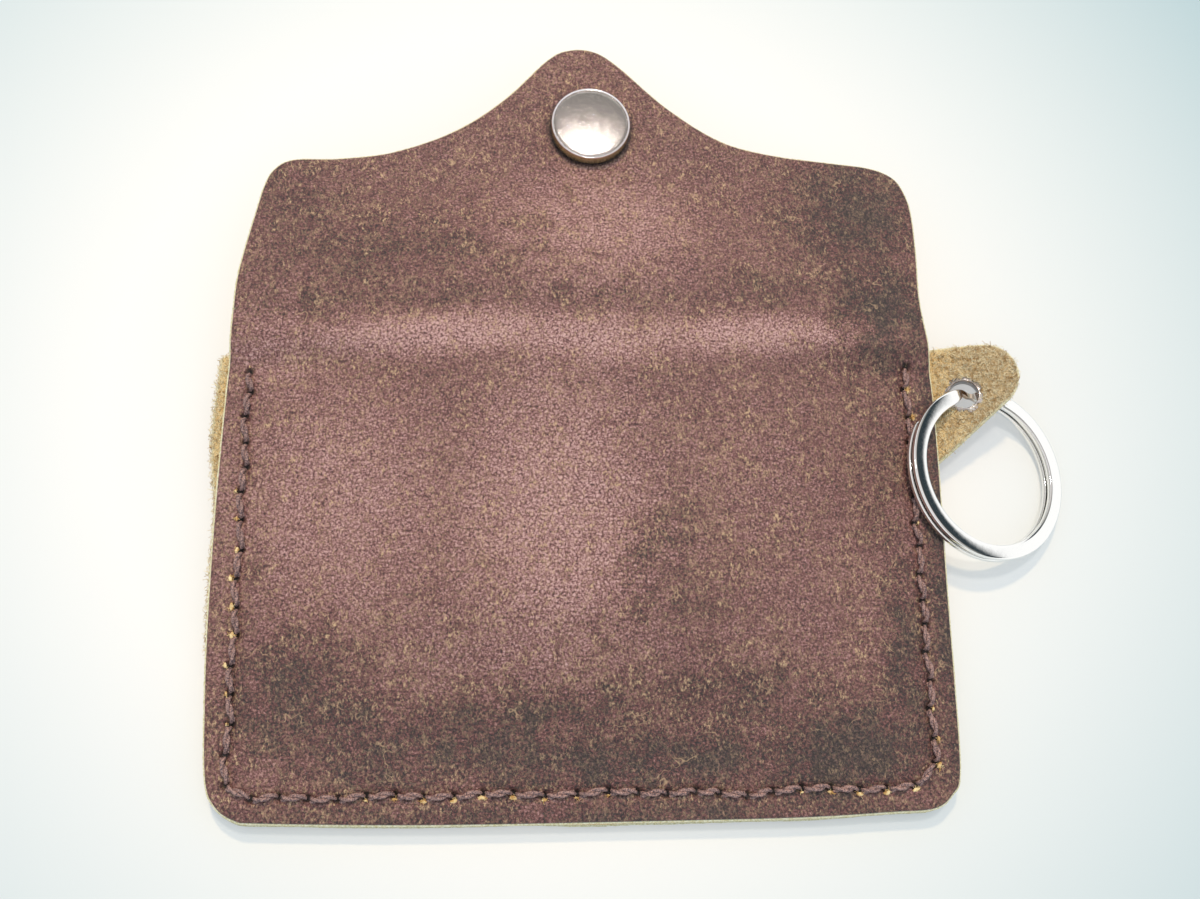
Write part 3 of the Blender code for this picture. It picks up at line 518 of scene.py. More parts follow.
def cut_flat(loop, grid, band=None, holes=(), pricks=()):
    """Triangles over a flat cut-out: rows along its edge, round its holes, and a staggered grid."""
    loop = evenly(loop, EDGE_STEP)
    low, high = band or (-FAR, FAR)
    level = high if high < FAR else low
    points, edges = [], []

    def chain(line, closed=True):
        start = len(points)
        points.extend(map(tuple, line))
        edges.extend((start + i, start + i + 1) for i in range(len(line) - 1))
        if closed:
            edges.append((start + len(line) - 1, start))

    if band:
        # The part of the outline within the band, closed along the cut line
        ends = [p[0] + (q[0] - p[0]) * ((level - p[1]) / (q[1] - p[1]))
                for p, q in zip(loop, np.roll(loop, -1, axis=0))
                if (p[1] - level) * (q[1] - level) < 0]
        keep = (loop[:, 1] >= low) & (loop[:, 1] <= high)
        first = [i for i in range(len(loop)) if keep[i] and not keep[i - 1]][0]
        line = list(np.roll(loop, -first, axis=0)[:keep.sum()])
        count = round((max(ends) - min(ends)) / grid) + 1
        split = [(x, level) for x in np.linspace(min(ends), max(ends), count)]
        if abs(split[0][0] - line[-1][0]) > abs(split[-1][0] - line[-1][0]):
            split.reverse()
        chain(line + split)
    else:
        chain(loop)
    normal = outward(loop)
    for depth in EDGE_LOOPS:
        inner = loop - normal * depth
        if not band:
            chain(inner)
            continue
        run = []
        for spot in [*inner, (0.0, low)]:
            if low + 0.2 < spot[1] < high - 0.2:
                run.append(spot)
            elif run:
                chain(run, False)
                run = []
    for centre, radius in holes:
        for ring in (0.0, 0.15, 0.35, HOLE_CLEAR):
            chain(circle(centre, radius + ring, 40))
    (x0, y0), (x1, y1) = loop.min(axis=0), loop.max(axis=0)
    rows = np.arange(max(y0, low), min(y1, high), grid * 0.866)
    field = np.array([(x + (grid / 2 if i % 2 else 0), y) for i, y in enumerate(rows)
                      for x in np.arange(x0, x1, grid)])
    good = within(field, loop) & (to_edge(field, evenly(loop, 1.0)) > EDGE_LOOPS[-1] + 0.4 * grid)
    if band:
        good &= np.abs(field[:, 1] - level) > 0.45 * grid
    for centre, radius in holes:
        good &= away_from(field, centre, radius + HOLE_CLEAR + 0.3 * grid)
    for prick in pricks:
        if low < prick[1] < high:
            good &= away_from(field, prick, 1.15)
            points.append(tuple(prick))
            for ring, count in ((0.25, 8), (0.48, 12), (0.7, 14), (0.95, 14)):
                points.extend(circle(prick, ring, count))
    points.extend(map(tuple, field[good]))
    verts, _, faces, *_ = delaunay_2d_cdt([Vector(p) for p in points], edges, [], 0, 1e-5, False)
    flat, faces = np.array([tuple(v) for v in verts]), np.array([f for f in faces])
    a, b, c = (flat[faces[:, k]] for k in range(3))
    turn = (b[:, 0] - a[:, 0]) * (c[:, 1] - a[:, 1]) - (b[:, 1] - a[:, 1]) * (c[:, 0] - a[:, 0])
    faces[turn < 0] = faces[turn < 0][:, ::-1]
    middle = (a + b + c) / 3
    good = (np.abs(turn) > 1e-7) & within(middle, loop) & (middle[:, 1] > low) & (middle[:, 1] < high)
    # A sliver that lies along the outline would stand out of it as a bump
    thin = np.abs(turn) < 0.02
    good[thin] &= to_edge(middle[thin], loop) > 0.01
    for centre, radius in holes:
        good &= away_from(middle, centre, radius)
    return flat, faces[good], loop


def blots(places, marks):
    """Depth at each place of a list of soft oval marks."""
    total = np.zeros(len(places))
    for x, y, along, over, turn, depth in marks:
        c, s = cos(radians(turn)), sin(radians(turn))
        dx, dy = places[:, 0] - x, places[:, 1] - y
        u, v = (dx * c + dy * s) / along, (dy * c - dx * s) / over
        total = np.maximum(total, depth * np.exp(-0.5 * (u * u + v * v) ** 1.3))
    return total


def new_object(name, verts, faces, edges=()):
    """A mesh object at the origin, in the scene."""
    mesh = bpy.data.meshes.new(name)
    mesh.from_pydata(verts, edges, faces)
    ob = bpy.data.objects.new(name, mesh)
    bpy.context.scene.collection.objects.link(ob)
    return ob


def note(mesh, name, values, kind="FLOAT", field="value"):
    """Values at the points of a mesh, for its material."""
    mesh.attributes.new(name, kind, "POINT").data.foreach_set(field, values)


def smooth(mesh, angle):
    """Smooth shading, with edges sharper than the angle kept sharp."""
    mesh.validate()
    mesh.shade_smooth()
    mesh.set_sharp_from_angle(angle=radians(angle))


def hide_piece(name, cut, lay, finishes, marks):
    """A piece of leather with both faces and its cut edge, laid by a function of place and height."""
    flat, faces, loop = cut
    count, depth = len(flat), to_edge(flat, loop)
    sides = list(map(tuple, np.vstack([faces[:, (0, 1)], faces[:, (1, 2)], faces[:, (2, 0)]])))
    keys = set(sides)
    rim = [(a, b) for a, b in sides if (b, a) not in keys]
    push = np.zeros((count, 2))
    for a, b in rim:
        run = flat[b] - flat[a]
        out = np.array((run[1], -run[0])) / (np.linalg.norm(run) + 1e-9)
        push[a] += out
        push[b] += out
    size = np.linalg.norm(push, axis=1)
    push[size > 0] /= size[size > 0][:, None]
    push[depth >= 0.25] = 0
    # The grain rounds over into the edge; the flesh side keeps its corner
    near = np.clip(depth - EDGE_INSET, 0, EDGE_ROUND)
    over = LEATHER - EDGE_ROUND + np.sqrt(EDGE_ROUND ** 2 - (EDGE_ROUND - near) ** 2)
    under = np.where(depth < 0.1, 0.08, 0.0)
    top = flat - push * EDGE_INSET
    places, heights = [top, flat], [over, under]
    ring = sorted({i for pair in rim for i in pair})
    index = {v: k for k, v in enumerate(ring)}
    # The pale core stands a little proud of the grain, unevenly
    for row, (share, proud) in enumerate(EDGE_ROWS):
        edge = (top * (1 - share) + flat * share)[ring]
        rough = wander(edge, 0.8, 3.1 * row) * 0.07 + proud
        places.append(edge + push[ring] * rough[:, None])
        heights.append((over * (1 - share) + under * share)[ring])
    places, heights = np.vstack(places), np.concatenate(heights)
    polygons = [tuple(f) for f in faces] + [tuple(f[::-1] + count) for f in faces]
    kinds = [0] * len(faces) + [1] * len(faces)
    for a, b in rim:
        here, there = ([v, *(2 * count + len(ring) * k + index[v] for k in range(len(EDGE_ROWS))),
                        count + v] for v in (a, b))
        for k in range(len(EDGE_ROWS) + 1):
            polygons.append((there[k], here[k], here[k + 1], there[k + 1]))
            kinds.append(2)
    ob = new_object(name, lay(places[:, 0], places[:, 1], heights).tolist(), polygons)
    for finish in finishes:
        ob.data.materials.append(finish)
    ob.data.polygons.foreach_set("material_index", kinds)
    note(ob.data, "flat", (np.column_stack([places, heights]) * MM).ravel(), "FLOAT_VECTOR", "vector")
    for label, values in marks(places).items():
        note(ob.data, label, values)
    smooth(ob.data, 42)
    return ob


def back_relief(x, s):
    """Shape that use has given the back leather: fold ridge, valleys and soft dents."""
    flat = np.column_stack([x, s])
    made = 0.16 * wander(flat, 16.0, 5.0) + 0.07 * wander(flat, 6.0, 9.0)
    made += 0.30 * np.exp(-((s - 67.4) / 1.5) ** 2) * (0.7 + 0.3 * np.cos(x / 21))
    made -= 0.28 * np.exp(-((s - 72.4 - 0.02 * x) / 2.2) ** 2) * np.exp(-((x + 4) / 34) ** 2)
    seam = np.minimum.reduce([np.abs(x + SEAM_HALF), np.abs(x - SEAM_HALF), np.abs(s)])
    inside = (s < SEAM_TOP + 2) & (np.abs(x) < SEAM_HALF + 1) & (s > -1)
    made = np.where(inside, made * np.clip(seam / 4, 0.15, 1), made * 0.25)
    made = np.where(s > SEAM_TOP + 2, 0.16 * wander(flat, 16.0, 5.0) + made, made)
    return made - np.where(inside, 0.12 * np.exp(-(seam / 0.7) ** 2), 0)


def pits(x, s, holes):
    """Depth of the pricked holes at each place, 0 to 1."""
    made = np.zeros(len(x))
    for hx, hy in holes:
        near = (np.abs(x - hx) < 1.5) & (np.abs(s - hy) < 1.5)
        away = np.hypot(x[near] - hx, s[near] - hy)
        made[near] = np.maximum(made[near], np.exp(-(away / 0.68) ** 4))
    return made


def lay_back(holes):
    """How the back leather lies: crowned over the cards, folded level into the flap."""
    def lay(x, s, h):
        crown = (CROWN_LIFT - MOUTH_LIFT) * across(x)
        level = np.where(s < CREASE_Y, SEAM_Z + pocket_rise(x, s), CREASE_Z + crown)
        grain = np.clip(h / LEATHER, 0, 1)
        shape = back_relief(x, s) - 0.45 * pits(x, s, holes) * grain
        pocket = to_frame(POCKET, x, s, level + h + shape)
        fall = crown * (1 - smooth_rise(0, FLAP_CROWN_RUN, s - FLAP_Y))
        flap = to_frame(FLAP, x, s - FLAP_Y, fall + h + shape)
        share = smooth_rise(FLAP_Y - 1.2, FLAP_Y + 1.2, s)[:, None]
        return pocket * (1 - share) + flap * share
    return lay


def lay_front(holes):
    """How the front leather lies: flat, with its tab bent up."""
    def lay(x, s, h):
        shape = 0.35 * pits(x, s, holes) * (1 - np.clip(h / LEATHER, 0, 1))
        share = smooth_rise(TAB_ROOT_X - 1.8, TAB_ROOT_X + 1.8, x) * TAB_LIFT
        out, z = x - TAB_ROOT_X, h + shape
        return to_frame(POCKET, TAB_ROOT_X + out * np.cos(share) - z * np.sin(share), s,
                        out * np.sin(share) + z * np.cos(share))
    return lay


def front_edge():
    """Cut edge of the front leather with its key tab, laid flat."""
    loop = evenly(back_edge(), 0.8)
    normal = outward(loop)
    uneven = 0.28 + 0.22 * wander(loop, 9.0, 2.0)
    loop = loop + normal * uneven[:, None]
    stray = smooth_rise(0.59 * MOUTH_Y, 0.84 * MOUTH_Y, loop[:, 1]) * 1.4
    loop[:, 0] -= np.where(loop[:, 0] < 0, stray, 0)
    low = MOUTH_Y - TAB_ROOT_H
    top = TAB_END[1] + TAB_END_R
    first = [i for i in range(len(loop)) if loop[i][1] < MOUTH_Y <= loop[i - 1][1]][0]
    order = np.roll(loop, -first, axis=0)[:(loop[:, 1] < MOUTH_Y).sum()]
    if order[0][0] < 0:
        order = order[::-1]
    # From the right end of the mouth down, round the bottom, and up the left side
    rest = [p for p in order if not (p[0] > 0 and p[1] > low)]
    end = [(TAB_END[0] + TAB_END_R * cos(radians(a)), TAB_END[1] + TAB_END_R * sin(radians(a)))
           for a in np.linspace(90, -49, 24)]
    tab = [(53.0, MOUTH_Y + 0.1), (54.2, MOUTH_Y + 1.6), (55.4, top - 0.35), (58.0, top - 0.15)] + end
    tab += [(60.5, 52.4), (57.6, 49.9), (TAB_ROOT_X + 0.2, low + 0.2)]
    mouth = [(x, MOUTH_Y) for x in np.linspace(rest[-1][0] + 1.0, 52.0, 90)]
    return np.array(tab + [tuple(p) for p in rest] + mouth)


def bake(ob, name):
    """The evaluated object as a plain mesh object, and the first one gone."""
    graph = bpy.context.evaluated_depsgraph_get()
    mesh = bpy.data.meshes.new_from_object(ob.evaluated_get(graph))
    old = ob.data
    bpy.data.objects.remove(ob, do_unlink=True)
    bpy.data.meshes.remove(old)
    mesh.name = name
    made = bpy.data.objects.new(name, mesh)
    bpy.context.scene.collection.objects.link(made)
    return made


def geometry_tree(name, sockets, build):
    """A geometry tree with named inputs, round what build makes of them."""
    tree = bpy.data.node_groups.new(name, "GeometryNodeTree")
    tree.interface.new_socket("Geometry", in_out="OUTPUT", socket_type="NodeSocketGeometry")
    for label, kind in (("Geometry", "Geometry"), *sockets, ("Material", "Material")):
        tree.interface.new_socket(label, in_out="INPUT", socket_type="NodeSocket" + kind)
    source = {s.name: Wire(tree, s) for s in tree.nodes.new("NodeGroupInput").outputs}
    real = add(tree, "GeometryNodeRealizeInstances", {"Geometry": build(tree, source)})
    painted = add(tree, "GeometryNodeSetMaterial", {"Geometry": real, "Material": source["Material"]})
    feed(tree, tree.nodes.new("NodeGroupOutput").inputs, {"Geometry": painted})
    return tree


def drive(ob, tree, values):
    """The tree as a modifier on the object, with its inputs set by identifier."""
    modifier = ob.modifiers.new(tree.name, "NODES")
    modifier.node_group = tree
    for item in tree.interface.items_tree:
        if item.in_out == "INPUT" and item.name in values:
            modifier[item.identifier] = values[item.name]


def two_ply_stitches(tree, source):
    """Every edge of the input becomes one stitch: a two-ply cord that arches between its ends."""
    curve = add(tree, "GeometryNodeMeshToCurve", {"Mesh": source["Geometry"]})
    curve = add(tree, "GeometryNodeResampleCurve", {"Curve": curve, "Count": 13})
    along = add(tree, "GeometryNodeSplineParameter", out="Factor")
    arch = (1.0 - along.maths("POWER", abs(along * 2.0 - 1.0), 3.2)) * source["Arch"]
    offset = add(tree, "ShaderNodeVectorMath", {0: source["Up"], "Scale": arch}, operation="SCALE")
    curve = add(tree, "GeometryNodeSetPosition", {"Geometry": curve, "Offset": offset})
    curve = add(tree, "GeometryNodeSetCurveTilt", {"Curve": curve, "Tilt": along * source["Twist"]})
    plies = add(tree, "GeometryNodeJoinGeometry")
    for side in (1.0, -1.0):
        ring = add(tree, "GeometryNodeCurvePrimitiveCircle", {"Resolution": 8,
                                                              "Radius": source["Ply Radius"]})
        shift = add(tree, "ShaderNodeCombineXYZ", {"X": source["Ply Offset"] * side})
        ring = add(tree, "GeometryNodeTransform", {"Geometry": ring, "Translation": shift})
        feed(tree, plies.socket.node.inputs, {"Geometry": ring})
    cord = add(tree, "GeometryNodeCurveToMesh", {"Curve": curve, "Profile Curve": plies,
                                                 "Fill Caps": True})
    return add(tree, "GeometryNodeSetShadeSmooth", {"Geometry": cord})


def scattered_fibres(tree, source):
    """Short bent fibres scattered over the input's faces, lying over at a slant."""
    seed = {"Seed": source["Seed"]}
    spread = add(tree, "GeometryNodeDistributePointsOnFaces", {
        "Mesh": source["Geometry"], "Density": source["Density"], **seed})
    size = add(tree, "ShaderNodeCombineXYZ", dict.fromkeys("XYZ", source["Length"]))
    bend = add(tree, "GeometryNodeCurveQuadraticBezier", {
        "Resolution": 3, "Start": (0, 0, 0), "Middle": (0.15, 0, 0.5), "End": (0.75, 0.2, 0.7)})
    bend = add(tree, "GeometryNodeTransform", {"Geometry": bend, "Scale": size})
    ring = add(tree, "GeometryNodeCurvePrimitiveCircle", {"Resolution": 3,
                                                          "Radius": source["Thickness"]})
    fibre = add(tree, "GeometryNodeCurveToMesh", {"Curve": bend, "Profile Curve": ring,
                                                  "Fill Caps": True})
    most = add(tree, "ShaderNodeCombineXYZ", {"X": source["Lean"], "Y": source["Lean"], "Z": 2 * pi})
    lean = add(tree, "FunctionNodeRandomValue", {0: (0, 0, 0), 1: most, **seed},
               data_type="FLOAT_VECTOR")
    lean = add(tree, "FunctionNodeEulerToRotation", {"Euler": lean})
    turn = add(tree, "FunctionNodeRotateRotation", {
        "Rotation": spread.socket.node.outputs["Rotation"], "Rotate By": lean},
        rotation_space="LOCAL")
    scale = add(tree, "FunctionNodeRandomValue", {2: 0.5, 3: 1.1, **seed}, out=1, data_type="FLOAT")
    return add(tree, "GeometryNodeInstanceOnPoints", {"Points": spread, "Instance": fibre,
                                                      "Rotation": turn, "Scale": scale})


def patch_of(ob, name, keep):
    """A copy of the faces of a laid piece whose place on the flat hide passes the test."""
    mesh = ob.data
    at = np.empty(len(mesh.vertices) * 3)
    mesh.attributes["flat"].data.foreach_get("vector", at)
    at = at.reshape(-1, 3) / MM
    faces = [tuple(f.vertices) for f in mesh.polygons
             if keep(at[list(f.vertices)].mean(axis=0), f.material_index)]
    index = {v: k for k, v in enumerate(dict.fromkeys(v for face in faces for v in face))}
    return new_object(name, [mesh.vertices[v].co.copy() for v in index],
                      [[index[v] for v in face] for face in faces])


def skin(rows, around=False, caps=False):
    """Faces between closed rows of vertex numbers. A row of one number is a pole."""
    faces = []
    for a, b in zip(rows, rows[1:] + rows[:1] if around else rows[1:]):
        for k in range(len(a)):
            m = (k + 1) % len(a)
            corners = tuple(dict.fromkeys((a[k], b[k], b[m], a[m])))
            if len(corners) > 2:
                faces.append(corners)
    return faces + [tuple(rows[0]), tuple(rows[-1][::-1])] if caps else faces


def in_rows(total, size, start=0):
    """Vertex numbers from start on, in rows of one size."""
    return [list(range(i, i + size)) for i in range(start, total, size)]


def face_outwards(mesh):
    """Turns a closed mesh's faces outwards."""
    bm = bmesh.new()
    bm.from_mesh(mesh)
    bmesh.ops.recalc_face_normals(bm, faces=bm.faces)
    bm.to_mesh(mesh)
    bm.free()


def solid(name, verts, faces, matrix, finish, angle=38):
    """A mesh object at the origin, with its place in its vertices."""
    ob = new_object(name, [matrix @ Vector(v) for v in verts], faces)
    ob.data.materials.append(finish)
    smooth(ob.data, angle)
    return ob


def turned(name, profile, matrix, finish, steps=96):
    """A turned piece from its profile in millimetres, down the outside and back up the inside."""
    verts, rows = [], []
    for radius, height in profile:
        pole = radius < 1e-6
        rows.append([len(verts)] * steps if pole else list(range(len(verts), len(verts) + steps)))
        verts += [(x * MM, y * MM, height * MM)
                  for x, y in circle((0, 0), radius, 1 if pole else steps)]
    return solid(name, verts, skin(rows, around=profile[0][0] > 1e-6), matrix, finish)


def tube(name, path, radius, matrix, finish, sides=10):
    """A round wire along points in millimetres."""
    verts = []
    for i, point in enumerate(path):
        ahead = (path[min(i + 1, len(path) - 1)] - path[max(i - 1, 0)]).normalized()
        out = ahead.cross(Vector((0, 0, 1))).normalized()
        up = out.cross(ahead)
        verts += [(point + out * x + up * y) * MM for x, y in circle((0, 0), radius, sides)]
    return solid(name, verts, skin(in_rows(len(verts), sides), caps=True), matrix, finish)


def merge(name, parts):
    """Several meshes of one material as one object."""
    verts, faces = [], []
    for ob in parts:
        faces += [tuple(len(verts) + i for i in f.vertices) for f in ob.data.polygons]
        verts += [v.co.copy() for v in ob.data.vertices]
    finish = parts[0].data.materials[0]
    for ob in parts:
        bpy.data.objects.remove(ob, do_unlink=True)
    return solid(name, verts, faces, Matrix.Identity(4), finish, 50)


def fillet(corners, radius, steps=5):
    """A profile whose inner corners are rounded."""
    corners = [np.array(corner, float) for corner in corners]
    made = [tuple(corners[0])]
    for before, here, after in zip(corners, corners[1:], corners[2:]):
        runs = [before - here, after - here]
        sizes = [np.linalg.norm(run) for run in runs]
        reach = min(radius, *(size * 0.45 for size in sizes))
        a, b = (here + run / size * reach for run, size in zip(runs, sizes))
        made += [tuple((1 - t) ** 2 * a + 2 * t * (1 - t) * here + t * t * b)
                 for t in (k / steps for k in range(steps + 1))]
    return made + [tuple(corners[-1])]


def colour(name, description, code):
    return FloatVectorProperty(name=name, description=description, subtype="COLOR", min=0, max=1,
                               default=linear(code))


def length(name, description, millimetres):
    return FloatProperty(name=name, description=description, subtype="DISTANCE", unit="LENGTH",
                         precision=5, default=millimetres * MM)


class WalletLeatherSettings(bpy.types.PropertyGroup):
    """Colours of the hide and fineness of its mesh"""

    grain_dark: colour("Dark dye", "Dye where it took deepest", "#553534")
    grain_mid: colour("Middle dye", "Most of the grain side", "#7b524e")
    # Rubbed: rubbing at the fold, and painted sheen where the light reflects
    grain_rubbed_and_sheen: colour("Rubbed", "Dye rubbed thin", "#a67c79")
    # Shine: a painted highlight on the highest pebbles, where the dye is also polished thin
    grain_shine_highlight: colour("Shine", "Dye polished thin on the highest pebbles", "#cca49f")
    # Charcoal: darkening from handling, and painted shade
    grain_charcoal_and_shade: colour("Charcoal", "Darkened by handling", "#2d2628")
    grain_fleck: colour("Flecks", "Tan of the hide where the dye is gone", "#d2b18b")
    flesh_pale: colour("Flesh, pale", "Undyed fibres", "#f2d9a4")
    flesh_deep: colour("Flesh, deep", "Undyed fibres in patches", "#dcb980")
    flesh_soiled: colour("Flesh, soiled", "Handled fibres", "#b89e76")
    flesh_gap: colour("Flesh, gaps", "Between the fibres", "#7c6038")
    edge_pale: colour("Edge, pale", "Cut core of the hide", "#f2ecd0")
    edge_deep: colour("Edge, deep", "Cut core of the hide", "#cfc290")
    nap_density: FloatProperty(name="Nap density", description="Fibres to the square metre",
                               default=1.25e7, min=0)
    nap_length: length("Nap length", "Length of a loose fibre", 0.9)
    grid: FloatProperty(name="Mesh spacing", description="Spacing of the leather's mesh, millimetres",
                        default=0.62, min=0.4, max=2.0)


class WalletThreadSettings(bpy.types.PropertyGroup):
    """Sizes and colours of the sewing"""

    # The thread's brown in two tones: painted shade between the fibres and painted light on them
    thread_shade_tone: colour("Dark", "Between the fibres", "#453a43")
    thread_lit_tone: colour("Light", "Waxed fibres", "#c99f92")
    ply_radius: length("Ply radius", "Radius of one of the two plies", 0.29)
    ply_offset: length("Ply offset", "Middle of the thread to a ply's middle", 0.24)
    turns: FloatProperty(name="Twist", description="Turn of the plies along one stitch",
                         default=radians(330), subtype="ANGLE", unit="ROTATION")


class WalletMetalSettings(bpy.types.PropertyGroup):
    """Colours and polish of the hardware"""

    nickel: colour("Nickel", "Plated snap and eyelet", "#c4bdb7")
    steel: colour("Steel", "Split ring", "#f0f0ee")
    # The ring where it passes through the eyelet: painted shade, with the leather's brown as a painted
    # reflection
    ring_shade_in_eyelet: colour("Bronze", "Colour of the ring where it rubs in the eyelet", "#b8a28c")
    brass: colour("Brass", "Spring in the socket", "#c9a765")
    polish: FloatProperty(name="Ring roughness", description="Roughness of the ring's polish",
                          default=0.045, min=0.0, max=1.0)
    ring_steps: IntProperty(name="Ring steps", description="Steps along the ring's two turns",
                            default=300, min=60, max=900)


class WalletStageSettings(bpy.types.PropertyGroup):
    """Light and table"""

    table: colour("Table", "White table", "#fbfaf8")
    key_watts: FloatProperty(name="Key light", description="Power of the lamp overhead",
                             default=6.0, min=0.0, unit="POWER")
    sky: FloatProperty(name="Sky", description="Strength of the light from all round",
                       default=0.74, min=0.0)


class WALLET_OT_back_leather(bpy.types.Operator):
    """Cut and lay the back panel, the fold and the flap, which are one piece of hide"""

    bl_idname = "wallet.back_leather"
    bl_label = "Back leather"

    def execute(self, context):
        props = context.scene.wallet_leather
        finishes = [grain_leather(props), flesh_leather(props), cut_edge(props)]
        holes = stitch_holes()
        edge, lay = back_edge(), lay_back(holes)
        half = CREASE_Y + SPINE / 2

        def marks(places):
            # The stitch holes are darkened with painted shade. A ring round the foot of the snap cap
            # is darkened with dirt and its painted contact shadow.
            from_cap = np.hypot(places[:, 0] - SNAP_X, places[:, 1] - FLAP_Y - SNAP_REACH)
            cap_foot_shadow = 0.95 * np.exp(-((from_cap - 6.2) / 0.65) ** 2)
            return {"charcoal": blots(places, CHARCOAL_AND_SHADE), "rubbed": blots(places, RUBBED_AND_SHEEN),
                    "pit": np.maximum(pits(places[:, 0], places[:, 1], holes) ** 1.5, cap_foot_shadow),
                    "soiled": np.full(len(places), 0.2)}

        panel = hide_piece("back_panel_leather",
                           cut_flat(edge, props.grid, (-FAR, half), pricks=holes),
                           lay, finishes, marks)
        flap = hide_piece("flap_leather", cut_flat(edge, props.grid, (half, FAR)),
                          lay, finishes, marks)
        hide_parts("back_panel")
        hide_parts("flap", "fold_spine")
        for ob, bodies, crease in ((panel, ("pocket", "spine"), CREASE_Y),
                                   (flap, ("spine", "flap"), FLAP_Y)):
            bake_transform(ob)
        return {"FINISHED"}


class WALLET_OT_front_leather(bpy.types.Operator):
    """Cut and lay the front panel with its key tab, flesh side up"""

    bl_idname = "wallet.front_leather"
    bl_label = "Front leather"

    def execute(self, context):
        props = context.scene.wallet_leather
        finishes = [bpy.data.materials[name] for name in (
            "Undyed flesh side of cowhide", "Distressed waxed cowhide, grain side",
            "Raw cut edge of cowhide")]
        holes = stitch_holes()

        def marks(places):
            # The stitch holes are painted dark with painted shade. The tab's end is soiled.
            x, y = places.T
            return {"charcoal": np.zeros(len(x)), "rubbed": np.zeros(len(x)),
                    "pit": pits(x, y, holes) ** 1.5,
                    "soiled": 0.15 + 1.4 * smooth_rise(55.5, 64.0, x)}

        bores = ((EYELET, EYELET_BORE_R + 0.35), ((SNAP_X, SNAP_Y), 1.5))
        ob = hide_piece("front_leather", cut_flat(front_edge(), props.grid, holes=bores, pricks=holes),
                        lay_front(holes), finishes, marks)
        # Loose ends of the hide's own fibres: pale, some brown, without shine
        finish = hide_fibres("Loose hide fibres", 0.7, 0.37, 0.53, "#b28a55", "#fff2d0",
                             {"Roughness": 0.8, "Specular IOR Level": 0.25})
        tree = geometry_tree("Loose fibres", (
            ("Density", "Float"), ("Length", "Float"), ("Thickness", "Float"), ("Lean", "Float"),
            ("Seed", "Int")), scattered_fibres)

        def on_tab(at, kind):
            return at[0] > TAB_ROOT_X + 0.9 and kind == 0

        def on_margin(at, kind):
            return at[0] < -SEAM_HALF - 1.5 and at[1] > 20 and kind != 1

        for name, body, keep in (("tab_nap", "tab", on_tab), ("margin_nap", "pocket", on_margin)):
            patch = patch_of(ob, name + "_base", keep)
            drive(patch, tree, {"Density": props.nap_density, "Length": props.nap_length,
                                "Thickness": 0.04 * MM, "Lean": 0.7, "Seed": 4, "Material": finish})
            nap = bake(patch, name)
            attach(nap, body)
        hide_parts("front_panel", "key_tab")
        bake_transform(ob)
        return {"FINISHED"}


class WALLET_OT_sew_seams(bpy.types.Operator):
    """Sew the seam with one waxed thread, and show its run on each face"""

    bl_idname = "wallet.sew_seams"
    bl_label = "Stitches"

    def execute(self, context):
        props = context.scene.wallet_thread
        finish = waxed_thread(props)
        holes = stitch_holes()
        tree = geometry_tree("Saddle stitches", (
            ("Up", "Vector"), ("Arch", "Float"), ("Ply Radius", "Float"), ("Ply Offset", "Float"),
            ("Twist", "Float")), two_ply_stitches)
        up = POCKET.to_3x3() @ Vector((0, 0, 1))
        for name, side, level in (("seam_thread_back", 1, SEAM_Z + LEATHER),
                                  ("seam_thread_front", -1, 0.0)):
            verts = []
            for i, (a, b) in enumerate(zip(holes, holes[1:])):
                along = (b - a) / np.linalg.norm(b - a)
                slant = np.array((-along[1], along[0])) * side * (0.24 + 0.06 * sin(3.3 * i))
                # Each stitch starts and stops inside the leather, beside its holes' middles
                for x, y in (a + along * 0.5 - slant, b - along * 0.42 + slant):
                    verts.append(POCKET @ Vector((x * MM, y * MM, (level - side * 0.3) * MM)))
            ob = new_object(name, verts, [], in_rows(len(verts), 2))
            drive(ob, tree, {"Up": up * side, "Arch": 0.85 * MM, "Ply Radius": props.ply_radius,
                             "Ply Offset": props.ply_offset, "Twist": props.turns,
                             "Material": finish})
            ob = bake(ob, name + "_stitches")
            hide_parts(name)
            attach(ob, "pocket")
        return {"FINISHED"}


